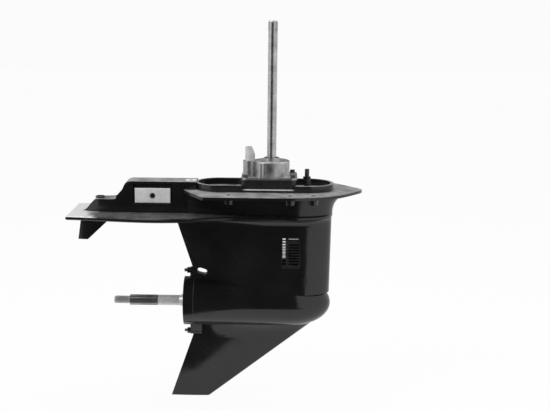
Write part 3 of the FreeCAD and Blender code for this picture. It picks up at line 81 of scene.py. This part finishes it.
# Dark cards round the object, which only reflections see
CARD_LEFT = -1.10
CARD_RIGHT = 0.34
CARD_FRONT = -1.15
CARD_NEAR = -0.62
CARD_TOP = 3.0
CARD_CEILING_BACK = 1.2
CARD_LIFT = 2 * MM
CORNER_CARD_RIGHT = (-0.08, -0.22)
CORNER_CARD_BACK = -0.20
BACK_CARD_X = (-0.715, 0.9)
BACK_CARD_Y = 1.5
BACK_CARD_TOP = 2.5
BLACK_CARD_TONE = 0.02
GREY_CARD_TONE = 0.20

# Paint: dust and painted sheen on faces that look up, stronger with height, and a painted highlight on the rear tip
DUST_AND_SHEEN_TONE = 0.32
DUST_AND_SHEEN_LOW = 0.40
DUST_AND_SHEEN_HIGH = 1.0
DUST_AND_SHEEN_ROUGHNESS = 0.30
PLATE_DUST_AND_SHEEN_Z = -0.050
DECK_DUST_AND_SHEEN_Z = -0.005
DUST_AND_SHEEN_FADE_Z = (-0.12, -0.08)
# Painted highlight on the rear tip: its span along X, ragged edge, tone, metallic and roughness
TIP_HIGHLIGHT_X = (-0.400, -0.375)
TIP_HIGHLIGHT_RAGGED = 0.09
TIP_HIGHLIGHT_TONE = 0.62
TIP_HIGHLIGHT_METALLIC = 0.30
TIP_HIGHLIGHT_ROUGHNESS = 0.28

# Main places of the object: the first ones are read from its own solids
SHAFT_TOP_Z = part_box("driveshaft")[1].z
PROP_LOW, PROP_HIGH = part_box("propeller_shaft")
HOUSING_LOW_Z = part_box("gear_housing")[0].z
CARRIER_LOW, CARRIER_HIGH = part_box("bearing_carrier")
PROP_Z = (PROP_LOW.z + PROP_HIGH.z) / 2
SPLINE_FRONT_X = -0.279
THREAD_FRONT_X = -0.349
REAR_BOLT_X = -0.196
TAIL_TOP = 0.0185
CARRIER_SEAM_X = -0.1885

# Inlet screens: thin bars over the through slit and short slots over the pocket
SCREEN_PITCH = 6.8 * MM
SCREEN_ROWS = 10
SLIT_HALF = 2.7 * MM
SLIT_X = (2.5 * MM, 10.5 * MM)
SLOT_HALF = 1.9 * MM
SLOT_X = (17 * MM, 4 * MM)

# Spline teeth and thread, which sink a little into their shafts
TOOTH_SINK = 0.4 * MM
RIDGE_SINK = 0.3 * MM
RIDGE_HALF_SHARE = 0.42
RIDGE_STEPS_PER_TURN = 40
DRIVE_SPLINE = {"length": 22.5 * MM, "root": 10.6 * MM, "tip": 11.1 * MM, "count": 18}
DRIVE_SPLINE_DROP = 26 * MM
PROP_SPLINE = {"length": 67 * MM, "root": 12.4 * MM, "tip": 13.0 * MM, "count": 15}
PROP_SPLINE_START = 40 * MM
PROP_THREAD = {"length": 30 * MM, "radius": 9.0 * MM, "pitch": 2.5 * MM, "height": 0.7 * MM}
PROP_THREAD_START = 4 * MM


# Material helpers

def new_material(name):
    """Material, its node tree and its main shader."""
    material = bpy.data.materials.new(name)
    material.use_nodes = True
    tree = material.node_tree
    shader = tree.nodes["Principled BSDF"]
    return material, tree, shader


def add(tree, kind, **values):
    node = tree.nodes.new(kind)
    for key, value in values.items():
        if key in node.inputs:
            node.inputs[key].default_value = value
        else:
            setattr(node, key, value)
    return node


def object_coords(tree, scale=(1, 1, 1)):
    coords = tree.nodes.new("ShaderNodeTexCoord")
    mapping = tree.nodes.new("ShaderNodeMapping")
    mapping.inputs["Scale"].default_value = scale
    tree.links.new(coords.outputs["Object"], mapping.inputs["Vector"])
    return mapping.outputs["Vector"]


def noise(tree, vector, scale, detail=4.0, roughness=0.55):
    node = add(tree, "ShaderNodeTexNoise")
    node.inputs["Scale"].default_value = scale
    node.inputs["Detail"].default_value = detail
    node.inputs["Roughness"].default_value = roughness
    tree.links.new(vector, node.inputs["Vector"])
    return node.outputs["Fac"]


def ramp(tree, factor, stops):
    node = tree.nodes.new("ShaderNodeValToRGB")
    elements = node.color_ramp.elements
    while len(elements) < len(stops):
        elements.new(0.5)
    for element, (place, colour) in zip(elements, stops):
        element.position = place
        element.color = (*colour, 1.0)
    tree.links.new(factor, node.inputs["Fac"])
    return node.outputs["Color"]


def spread(tree, factor, low, high, start=0.3, end=0.7):
    node = tree.nodes.new("ShaderNodeMapRange")
    node.inputs["From Min"].default_value = start
    node.inputs["From Max"].default_value = end
    node.inputs["To Min"].default_value = low
    node.inputs["To Max"].default_value = high
    tree.links.new(factor, node.inputs["Value"])
    return node.outputs["Result"]


def bump(tree, shader, height, strength, distance):
    node = tree.nodes.new("ShaderNodeBump")
    node.inputs["Strength"].default_value = strength
    node.inputs["Distance"].default_value = distance
    tree.links.new(height, node.inputs["Height"])
    tree.links.new(node.outputs["Normal"], shader.inputs["Normal"])


def grey(value):
    return (value, value, value)


def upward(tree, low, high):
    """0 on upright faces, rising to 1 on faces that look up."""
    normal = tree.nodes.new("ShaderNodeNewGeometry")
    parts = tree.nodes.new("ShaderNodeSeparateXYZ")
    tree.links.new(normal.outputs["Normal"], parts.inputs[0])
    return spread(tree, parts.outputs["Z"], 0.0, 1.0, low, high)


def times(tree, first, second):
    node = add(tree, "ShaderNodeMath", operation="MULTIPLY")
    tree.links.new(first, node.inputs[0])
    tree.links.new(second, node.inputs[1])
    return node.outputs[0]


def blend(tree, factor, first, second):
    node = tree.nodes.new("ShaderNodeMix")
    node.data_type = "RGBA"
    tree.links.new(factor, node.inputs["Factor"])
    for socket, value in ((node.inputs[6], first), (node.inputs[7], second)):
        if isinstance(value, tuple):
            socket.default_value = (*value, 1.0)
        else:
            tree.links.new(value, socket)
    return node.outputs[2]


def scaled_sum(tree, value, scale, base):
    """value times scale, plus base."""
    node = add(tree, "ShaderNodeMath", operation="MULTIPLY_ADD")
    tree.links.new(value, node.inputs[0])
    node.inputs[1].default_value = scale
    tree.links.new(base, node.inputs[2])
    return node.outputs[0]


def black_paint():
    """Glossy black enamel with slight orange peel, dust and painted sheen on faces that look up and a painted highlight
    on the rear tip.
    """
    material, tree, shader = new_material("black_paint")
    place = object_coords(tree)
    parts = tree.nodes.new("ShaderNodeSeparateXYZ")
    tree.links.new(place, parts.inputs[0])
    cloud = noise(tree, place, 9.0, 5.0)
    colour = ramp(tree, cloud, [(0.35, (0.0095, 0.0095, 0.0098)), (0.7, (0.0165, 0.0162, 0.0158))])
    smear = noise(tree, place, 26.0, 6.0)
    # Dust and painted sheen: faces that look up are lightened, more with height, partly as dust and partly as painted
    # reflection of the bright surroundings
    raised = spread(tree, parts.outputs["Z"], DUST_AND_SHEEN_LOW, DUST_AND_SHEEN_HIGH, PLATE_DUST_AND_SHEEN_Z, DECK_DUST_AND_SHEEN_Z)
    above = times(tree, raised, spread(tree, parts.outputs["Z"], 0.0, 1.0, *DUST_AND_SHEEN_FADE_Z))
    dust_and_sheen = times(tree, upward(tree, 0.80, 0.98), times(tree, above, spread(tree, smear, 0.6, 1.0, 0.35, 0.6)))
    dusted_and_sheened = blend(tree, dust_and_sheen, colour, grey(DUST_AND_SHEEN_TONE))
    # Painted highlight: the upward faces of the rear tip are made light and partly metallic, with a ragged edge
    edge = scaled_sum(tree, smear, TIP_HIGHLIGHT_RAGGED, parts.outputs["X"])
    tip_highlight = times(tree, spread(tree, edge, 1.0, 0.0, *TIP_HIGHLIGHT_X),
                   upward(tree, 0.2, 0.7))
    tree.links.new(blend(tree, tip_highlight, dusted_and_sheened, grey(TIP_HIGHLIGHT_TONE)), shader.inputs["Base Color"])
    tree.links.new(spread(tree, tip_highlight, 0.0, TIP_HIGHLIGHT_METALLIC, 0.0, 1.0), shader.inputs["Metallic"])
    gloss = spread(tree, smear, 0.10, 0.21)
    dull = scaled_sum(tree, dust_and_sheen, DUST_AND_SHEEN_ROUGHNESS, gloss)
    tree.links.new(scaled_sum(tree, tip_highlight, TIP_HIGHLIGHT_ROUGHNESS, dull), shader.inputs["Roughness"])
    shader.inputs["IOR"].default_value = 1.5
    peel = noise(tree, place, 420.0, 2.0)
    bump(tree, shader, peel, 0.05, 0.0004)
    return material


def cast_metal(name, low, high, roughness, grain=900.0, metallic=0.85):
    """Cast alloy: fine sand grain with broad cloudy tone."""
    material, tree, shader = new_material(name)
    place = object_coords(tree)
    cloud = noise(tree, place, 45.0, 6.0)
    tree.links.new(ramp(tree, cloud, [(0.3, grey(low)), (0.72, grey(high))]), shader.inputs["Base Color"])
    shader.inputs["Metallic"].default_value = metallic
    tree.links.new(spread(tree, cloud, roughness, roughness + 0.15), shader.inputs["Roughness"])
    grains = noise(tree, place, grain, 3.0)
    bump(tree, shader, grains, 0.25, 0.0006)
    return material


def turned_steel(name, low, high, roughness, axis_scale):
    """Ground steel with fine rings round its axis and a few stains."""
    material, tree, shader = new_material(name)
    lines = noise(tree, object_coords(tree, axis_scale), 60.0, 5.0)
    stain = noise(tree, object_coords(tree), 38.0, 6.0)
    mixed = add(tree, "ShaderNodeMath", operation="MULTIPLY")
    tree.links.new(lines, mixed.inputs[0])
    tree.links.new(stain, mixed.inputs[1])
    tree.links.new(ramp(tree, mixed.outputs[0], [(0.14, grey(low)), (0.36, grey(high))]),
                   shader.inputs["Base Color"])
    shader.inputs["Metallic"].default_value = 1.0
    tree.links.new(spread(tree, lines, roughness, roughness + 0.16), shader.inputs["Roughness"])
    bump(tree, shader, lines, 0.12, 0.0002)
    return material


def shaft_steel_groove_shade():
    """Propeller shaft: bright ground land, grey thread, dark spline, told apart by their place along the shaft; the
    dark spline is painted shade in the grooves between the teeth, and the thread zone keeps part of it.
    """
    material, tree, shader = new_material("shaft_steel_groove_shade")
    place = object_coords(tree)
    parts = tree.nodes.new("ShaderNodeSeparateXYZ")
    tree.links.new(place, parts.inputs[0])
    fleck = noise(tree, place, 260.0, 4.0)
    bright = ramp(tree, fleck, [(0.35, (0.60, 0.60, 0.60)), (0.7, (0.84, 0.84, 0.83))])
    dull = ramp(tree, fleck, [(0.35, (0.10, 0.10, 0.10)), (0.7, (0.18, 0.18, 0.175))])
    # Painted shade: the shaft under the spline teeth is darkened so the grooves read dark; over the thread it is
    # lightened back about half
    spline = spread(tree, parts.outputs["X"], 1.0, 0.0, SPLINE_FRONT_X - 0.001, SPLINE_FRONT_X + 0.001)
    thread = spread(tree, parts.outputs["X"], 0.55, 0.0, THREAD_FRONT_X - 0.001, THREAD_FRONT_X + 0.001)
    tree.links.new(blend(tree, thread, blend(tree, spline, bright, dull), bright), shader.inputs["Base Color"])
    shader.inputs["Metallic"].default_value = 0.25
    shader.inputs["Roughness"].default_value = 0.30
    bump(tree, shader, noise(tree, place, 500.0, 3.0), 0.10, 0.0004)
    return material


def soft_material(name, low, high, roughness):
    """Rubber or moulded plastic with a fine matt skin."""
    material, tree, shader = new_material(name)
    place = object_coords(tree)
    cloud = noise(tree, place, 70.0, 4.0)
    tree.links.new(ramp(tree, cloud, [(0.3, grey(low)), (0.7, grey(high))]), shader.inputs["Base Color"])
    tree.links.new(spread(tree, cloud, roughness, roughness + 0.12), shader.inputs["Roughness"])
    bump(tree, shader, noise(tree, place, 1500.0, 2.0), 0.15, 0.0003)
    return material


def bronze():
    """Cast bronze of the shift bushing flange."""
    material, tree, shader = new_material("bronze")
    place = object_coords(tree)
    cloud = noise(tree, place, 80.0, 5.0)
    colour = ramp(tree, cloud, [(0.3, (0.32, 0.21, 0.09)), (0.7, (0.52, 0.37, 0.17))])
    tree.links.new(colour, shader.inputs["Base Color"])
    shader.inputs["Metallic"].default_value = 1.0
    tree.links.new(spread(tree, cloud, 0.28, 0.45), shader.inputs["Roughness"])
    return material


MATERIALS = {
    "black_paint": black_paint(),
    "zinc": cast_metal("zinc", 0.74, 0.92, 0.55, 500.0, 0.0),
    "cast_aluminium": cast_metal("cast_aluminium", 0.30, 0.54, 0.32, 700.0),
    "stainless": turned_steel("stainless", 0.50, 0.68, 0.22, (1, 1, 14)),
    "steel": turned_steel("steel", 0.30, 0.56, 0.26, (1, 1, 22)),
    "gear_steel": turned_steel("gear_steel", 0.24, 0.40, 0.30, (8, 1, 1)),
    "bearing_steel": turned_steel("bearing_steel", 0.50, 0.66, 0.16, (10, 1, 1)),
    "dark_steel": turned_steel("dark_steel", 0.035, 0.10, 0.35, (1, 1, 4)),
    "black_plastic": soft_material("black_plastic", 0.010, 0.018, 0.32),
    "rubber": soft_material("rubber", 0.008, 0.018, 0.55),
    "pale_plastic": soft_material("pale_plastic", 0.60, 0.80, 0.42),
    "shaft_steel_groove_shade": shaft_steel_groove_shade(),
    "seam_metal": cast_metal("seam_metal", 0.07, 0.12, 0.45, 300.0, 0.5),
    # Painted reflection: bare metal faces (pump face plate, machined bolt face) get a near-white non-metal colour that
    # stands in for their shine
    "bright_plate_painted_shine": cast_metal("bright_plate_painted_shine", 0.80, 0.94, 0.35, 700.0, 0.0),
    "bronze": bronze(),
}

# Nodes whose look differs from that of their slot
OWN_MATERIAL = {"pump_face_plate": "bright_plate_painted_shine", "shift_shaft": "dark_steel", "propeller_shaft": "shaft_steel_groove_shade"}


def dress_nodes():
    """Give each solid its own or its slot's material."""
    slots = {entry["node"]: entry["material_slot"] for entry in frame["record"]["subparts"]}
    for name, node in NODES.items():
        node.data.materials.clear()
        node.data.materials.append(MATERIALS[OWN_MATERIAL.get(name, slots[name])])


# Detail pieces

def mesh_piece(name, bm, material, body):
    """Object from a bmesh, dressed and riding on its body."""
    mesh = bpy.data.meshes.new(name)
    bmesh.ops.recalc_face_normals(bm, faces=bm.faces)
    bm.to_mesh(mesh)
    bm.free()
    piece = bpy.data.objects.new(name, mesh)
    bpy.context.scene.collection.objects.link(piece)
    mesh.materials.append(MATERIALS[material])
    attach(piece, body)
    return piece


def prism(bm, outline, start, along):
    """Closed prism from an outline of points swept by a vector."""
    low = [bm.verts.new(start + p) for p in outline]
    high = [bm.verts.new(start + p + along) for p in outline]
    count = len(outline)
    bm.faces.new(low[::-1])
    bm.faces.new(high)
    for i in range(count):
        bm.faces.new((low[i], low[(i + 1) % count], high[(i + 1) % count], high[i]))


def spline_teeth(name, centre, axis, length, root, tip, count, body):
    """Ridges of a splined shaft standing on its cylinder."""
    axis = axis.normalized()
    side = axis.orthogonal().normalized()
    other = axis.cross(side)
    bm = bmesh.new()
    half_root = math.pi / count * 0.56
    half_tip = math.pi / count * 0.40
    for i in range(count):
        middle = 2 * math.pi * i / count
        sunk = root - TOOTH_SINK
        corners = [(sunk, -half_root), (tip, -half_tip), (tip, half_tip), (sunk, half_root)]
        outline = [(side * math.cos(middle + a) + other * math.sin(middle + a)) * r for r, a in corners]
        prism(bm, outline, centre, axis * length)
    return mesh_piece(name, bm, "steel", body)


def thread_ridge(name, start, axis, length, radius, pitch, height, body):
    """Helical thread ridge round a shaft end."""
    axis = axis.normalized()
    side = axis.orthogonal().normalized()
    other = axis.cross(side)
    steps = int(length / pitch * RIDGE_STEPS_PER_TURN)
    flank = axis * pitch * RIDGE_HALF_SHARE
    bm = bmesh.new()
    rings = []
    for i in range(steps + 1):
        angle = 2 * math.pi * i / RIDGE_STEPS_PER_TURN
        along = start + axis * (length * i / steps)
        out = side * math.cos(angle) + other * math.sin(angle)
        taper = min(1.0, 3.0 * min(i, steps - i) / RIDGE_STEPS_PER_TURN + 0.1)
        foot = along + out * (radius - RIDGE_SINK)
        rings.append([bm.verts.new(foot - flank),
                      bm.verts.new(along + out * (radius + height * taper)),
                      bm.verts.new(foot + flank)])
    for a, b in zip(rings, rings[1:]):
        for j in range(3):
            bm.faces.new((a[j], a[(j + 1) % 3], b[(j + 1) % 3], b[j]))
    bm.faces.new(rings[0][::-1])
    bm.faces.new(rings[-1])
    return mesh_piece(name, bm, "steel", body)


def shaft_details():
    """Splines of both shafts and the propeller nut's thread."""
    spline_teeth("driveshaft_spline_teeth", Vector((0, 0, SHAFT_TOP_Z - DRIVE_SPLINE_DROP)), Vector((0, 0, 1)),
                 body="driveshaft", **DRIVE_SPLINE)
    spline_teeth("propeller_spline_teeth", Vector((PROP_LOW.x + PROP_SPLINE_START, 0, PROP_Z)), Vector((1, 0, 0)),
                 body="propeller_shaft", **PROP_SPLINE)
    thread_ridge("propeller_thread", Vector((PROP_LOW.x + PROP_THREAD_START, 0, PROP_Z)), Vector((1, 0, 0)),
                 body="propeller_shaft", **PROP_THREAD)


def pierced_plate(bm, x_edges, z_edges, y_out, y_in, is_hole):
    """Closed plate in the XZ plane from a grid, with the cells that is_hole names left open."""
    points = {}

    def vert(i, j, y):
        if (i, j, y) not in points:
            points[i, j, y] = bm.verts.new((x_edges[i], y, z_edges[j]))
        return points[i, j, y]

    def solid(i, j):
        inside = 0 <= i < len(x_edges) - 1 and 0 <= j < len(z_edges) - 1
        return inside and not is_hole((x_edges[i] + x_edges[i + 1]) / 2, (z_edges[j] + z_edges[j + 1]) / 2)

    for i in range(len(x_edges) - 1):
        for j in range(len(z_edges) - 1):
            if not solid(i, j):
                continue
            for y in (y_out, y_in):
                bm.faces.new((vert(i, j, y), vert(i + 1, j, y), vert(i + 1, j + 1, y), vert(i, j + 1, y)))
            for step, a, b in (((-1, 0), (i, j), (i, j + 1)), ((1, 0), (i + 1, j), (i + 1, j + 1)),
                               ((0, -1), (i, j), (i + 1, j)), ((0, 1), (i, j + 1), (i + 1, j + 1))):
                if not solid(i + step[0], j + step[1]):
                    bm.faces.new((vert(*a, y_out), vert(*b, y_out), vert(*b, y_in), vert(*a, y_in)))


def inlet_screen(node):
    """Moulded screen: thin bars over the through slit, short slots over the pocket."""
    low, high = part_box(node)
    y_out, y_in = (high.y, low.y) if low.y > 0 else (low.y, high.y)
    slit = (low.x + SLIT_X[0], low.x + SLIT_X[1])
    slots = (low.x + SLOT_X[0], high.x - SLOT_X[1])
    rows = [high.z - SCREEN_PITCH * (i + 1) for i in range(SCREEN_ROWS)]
    x_edges = [low.x, *slit, *slots, high.x]
    z_edges = sorted([low.z, high.z] + [z + d for z in rows for d in (-SLIT_HALF, -SLOT_HALF, SLOT_HALF, SLIT_HALF)])

    def is_hole(x, z):
        gap = min(abs(z - row) for row in rows)
        if slit[0] < x < slit[1]:
            return gap < SLIT_HALF
        return slots[0] < x < slots[1] and gap < SLOT_HALF

    bm = bmesh.new()
    pierced_plate(bm, x_edges, z_edges, y_out, y_in, is_hole)
    piece = mesh_piece(node + "_grid", bm, "black_plastic", "gearcase")
    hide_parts(node)


def ring(bm, centre, axis, inner, outer, thickness, count=64):
    """Flat washer ring."""
    axis = axis.normalized()
    side = axis.orthogonal().normalized()
    other = axis.cross(side)
    rows = []
    for i in range(count):
        turn = 2 * math.pi * i / count
        out = side * math.cos(turn) + other * math.sin(turn)
        rows.append([bm.verts.new(centre + out * r + axis * t) for r, t in
                     ((inner, 0), (outer, 0), (outer, thickness), (inner, thickness))])
    for a, b in zip(rows, rows[1:] + rows[:1]):
        for j in range(4):
            bm.faces.new((a[j], a[(j + 1) % 4], b[(j + 1) % 4], b[j]))


def housing_details():
    """Pierced inlet screens, the machined face round the rear bolt hole with its shine painted near white, and the
    carrier's seam.
    """
    for node in ("inlet_screen_starboard", "inlet_screen_port"):
        inlet_screen(node)
    bm = bmesh.new()
    ring(bm, Vector((REAR_BOLT_X, 0, TAIL_TOP - 0.3 * MM)), Vector((0, 0, 1)), 6 * MM, 14 * MM, 0.7 * MM)
    # The machined face's shine is painted as near-white colour
    mesh_piece("rear_bolt_machined_face_painted_shine", bm, "bright_plate_painted_shine", "gearcase")
    bm = bmesh.new()
    torpedo_r = (CARRIER_HIGH.y - CARRIER_LOW.y) / 2
    ring(bm, Vector((CARRIER_SEAM_X, 0, PROP_Z)), Vector((1, 0, 0)), torpedo_r - 1.5 * MM, torpedo_r + 0.2 * MM,
         1.1 * MM, 96)
    mesh_piece("carrier_seam", bm, "seam_metal", "gearcase")


# Camera, light and ground

def camera():
    """The photograph's camera."""
    data = bpy.data.cameras.new("camera")
    data.sensor_width = SENSOR_WIDTH
    data.lens = FOCAL_PIXELS / IMAGE_WIDTH * SENSOR_WIDTH
    data.clip_end = CAMERA_REACH
    eye = bpy.data.objects.new("camera", data)
    turn = Matrix.Rotation(math.radians(90 - CAMERA_PITCH), 4, "X") @ Matrix.Rotation(math.radians(CAMERA_ROLL), 4, "Z")
    eye.matrix_world = Matrix.Translation(CAMERA_PLACE) @ turn
    bpy.context.scene.collection.objects.link(eye)
    bpy.context.scene.camera = eye


def area_light(name, place, target, width, height, power):
    """Rectangular lamp at a place, aimed at a target."""
    data = bpy.data.lights.new(name, "AREA")
    data.shape = "RECTANGLE"
    data.size = width
    data.size_y = height
    data.energy = power
    lamp = bpy.data.objects.new(name, data)
    direction = Vector(target) - Vector(place)
    lamp.matrix_world = Matrix.Translation(place) @ direction.to_track_quat("-Z", "Y").to_matrix().to_4x4()
    bpy.context.scene.collection.objects.link(lamp)


def seen_rays(tree):
    """1 for camera, glossy and transmission rays."""
    path = tree.nodes.new("ShaderNodeLightPath")
    first = add(tree, "ShaderNodeMath", operation="MAXIMUM")
    second = add(tree, "ShaderNodeMath", operation="MAXIMUM")
    tree.links.new(path.outputs["Is Camera Ray"], first.inputs[0])
    tree.links.new(path.outputs["Is Glossy Ray"], first.inputs[1])
    tree.links.new(first.outputs[0], second.inputs[0])
    tree.links.new(path.outputs["Is Transmission Ray"], second.inputs[1])
    return second.outputs[0]


def world():
    """Soft grey light, seen as near white."""
    scene_world = bpy.data.worlds.new("world")
    bpy.context.scene.world = scene_world
    scene_world.use_nodes = True
    tree = scene_world.node_tree
    background = tree.nodes["Background"]
    background.inputs["Color"].default_value = (*WORLD_COLOUR, 1)
    background.inputs["Strength"].default_value = WORLD_STRENGTH
    white = tree.nodes.new("ShaderNodeBackground")
    white.inputs["Color"].default_value = (*grey(BACKDROP_WHITE), 1)
    white.inputs["Strength"].default_value = 1.0
    mix = tree.nodes.new("ShaderNodeMixShader")
    tree.links.new(seen_rays(tree), mix.inputs[0])
    tree.links.new(background.outputs[0], mix.inputs[1])
    tree.links.new(white.outputs[0], mix.inputs[2])
    tree.links.new(mix.outputs[0], tree.nodes["World Output"].inputs["Surface"])


def card(name, corners, material):
    """Flat four-cornered sheet of the studio."""
    mesh = bpy.data.meshes.new(name)
    mesh.from_pydata([tuple(c) for c in corners], [], [(0, 1, 2, 3)])
    mesh.materials.append(material)
    sheet = bpy.data.objects.new(name, mesh)
    bpy.context.scene.collection.objects.link(sheet)
    return sheet


def floor():
    """Near white floor that keeps a faint shadow."""
    material = bpy.data.materials.new("floor")
    material.use_nodes = True
    tree = material.node_tree
    shader = tree.nodes["Principled BSDF"]
    shader.inputs["Base Color"].default_value = (*grey(FLOOR_TONE), 1)
    shader.inputs["Roughness"].default_value = 0.9
    glow = tree.nodes.new("ShaderNodeEmission")
    glow.inputs["Color"].default_value = (1, 1, 1, 1)
    glow.inputs["Strength"].default_value = 1.0
    share = add(tree, "ShaderNodeMath", operation="MULTIPLY")
    share.inputs[1].default_value = FLOOR_WHITE
    tree.links.new(seen_rays(tree), share.inputs[0])
    mix = tree.nodes.new("ShaderNodeMixShader")
    tree.links.new(share.outputs[0], mix.inputs[0])
    tree.links.new(shader.outputs[0], mix.inputs[1])
    tree.links.new(glow.outputs[0], mix.inputs[2])
    tree.links.new(mix.outputs[0], tree.nodes["Material Output"].inputs["Surface"])
    level = HOUSING_LOW_Z - FLOOR_DROP
    corners = [(x * FLOOR_REACH, y * FLOOR_REACH, level) for x, y in ((-1, -1), (1, -1), (1, 1), (-1, 1))]
    card("floor", corners, material)


def card_material(name, tone):
    """Matt material without any sheen."""
    material = bpy.data.materials.new(name)
    material.use_nodes = True
    shader = material.node_tree.nodes["Principled BSDF"]
    shader.inputs["Base Color"].default_value = (*grey(tone), 1)
    shader.inputs["Roughness"].default_value = 1.0
    shader.inputs["Specular IOR Level"].default_value = 0.0
    return material


def dark_cards():
    """Studio flags that only reflections see: black in front, grey behind."""
    black = card_material("black_card", BLACK_CARD_TONE)
    dim = card_material("grey_card", GREY_CARD_TONE)
    level = HOUSING_LOW_Z + CARD_LIFT
    left, right, front, near, top = CARD_LEFT, CARD_RIGHT, CARD_FRONT, CARD_NEAR, CARD_TOP
    corner_near, corner_back = CORNER_CARD_RIGHT
    back_left, back_right = BACK_CARD_X
    sheets = [
        card("black_card_upright", [(left, front, level), (right, front, level), (right, front, top),
                                    (left, front, top)], black),
        card("black_card_lying", [(left, front, level), (right, front, level), (right, near, level),
                                  (left, near, level)], black),
        card("black_card_corner", [(left, near, level), (corner_near, near, level),
                                   (corner_back, CORNER_CARD_BACK, level), (left, CORNER_CARD_BACK, level)], black),
        card("black_card_ceiling", [(left, front, top), (right, front, top), (right, CARD_CEILING_BACK, top),
                                    (left, CARD_CEILING_BACK, top)], black),
        card("grey_card_back", [(back_left, BACK_CARD_Y, level), (back_right, BACK_CARD_Y, level),
                                (back_right, BACK_CARD_Y, BACK_CARD_TOP), (back_left, BACK_CARD_Y, BACK_CARD_TOP)],
             dim)]
    for sheet in sheets:
        sheet.visible_camera = False
        sheet.visible_shadow = False
        sheet.visible_diffuse = False


def studio():
    """World, floor, cards, lamps and view transform."""
    world()
    floor()
    dark_cards()
    area_light("top_light", (-0.3, 0.4, 2.2), (0, 0, -0.1), 2.2, 1.6, TOP_WATTS)
    area_light("right_light", (1.6, 0.1, 1.5), (0, 0, 0.05), 0.9, 0.9, RIGHT_WATTS)
    area_light("left_light", (-1.6, -0.9, 1.2), (-0.1, 0, -0.1), 0.8, 1.2, LEFT_WATTS)
    bpy.context.scene.view_settings.view_transform = "Standard"


dress_nodes()
shaft_details()
housing_details()
camera()
studio()
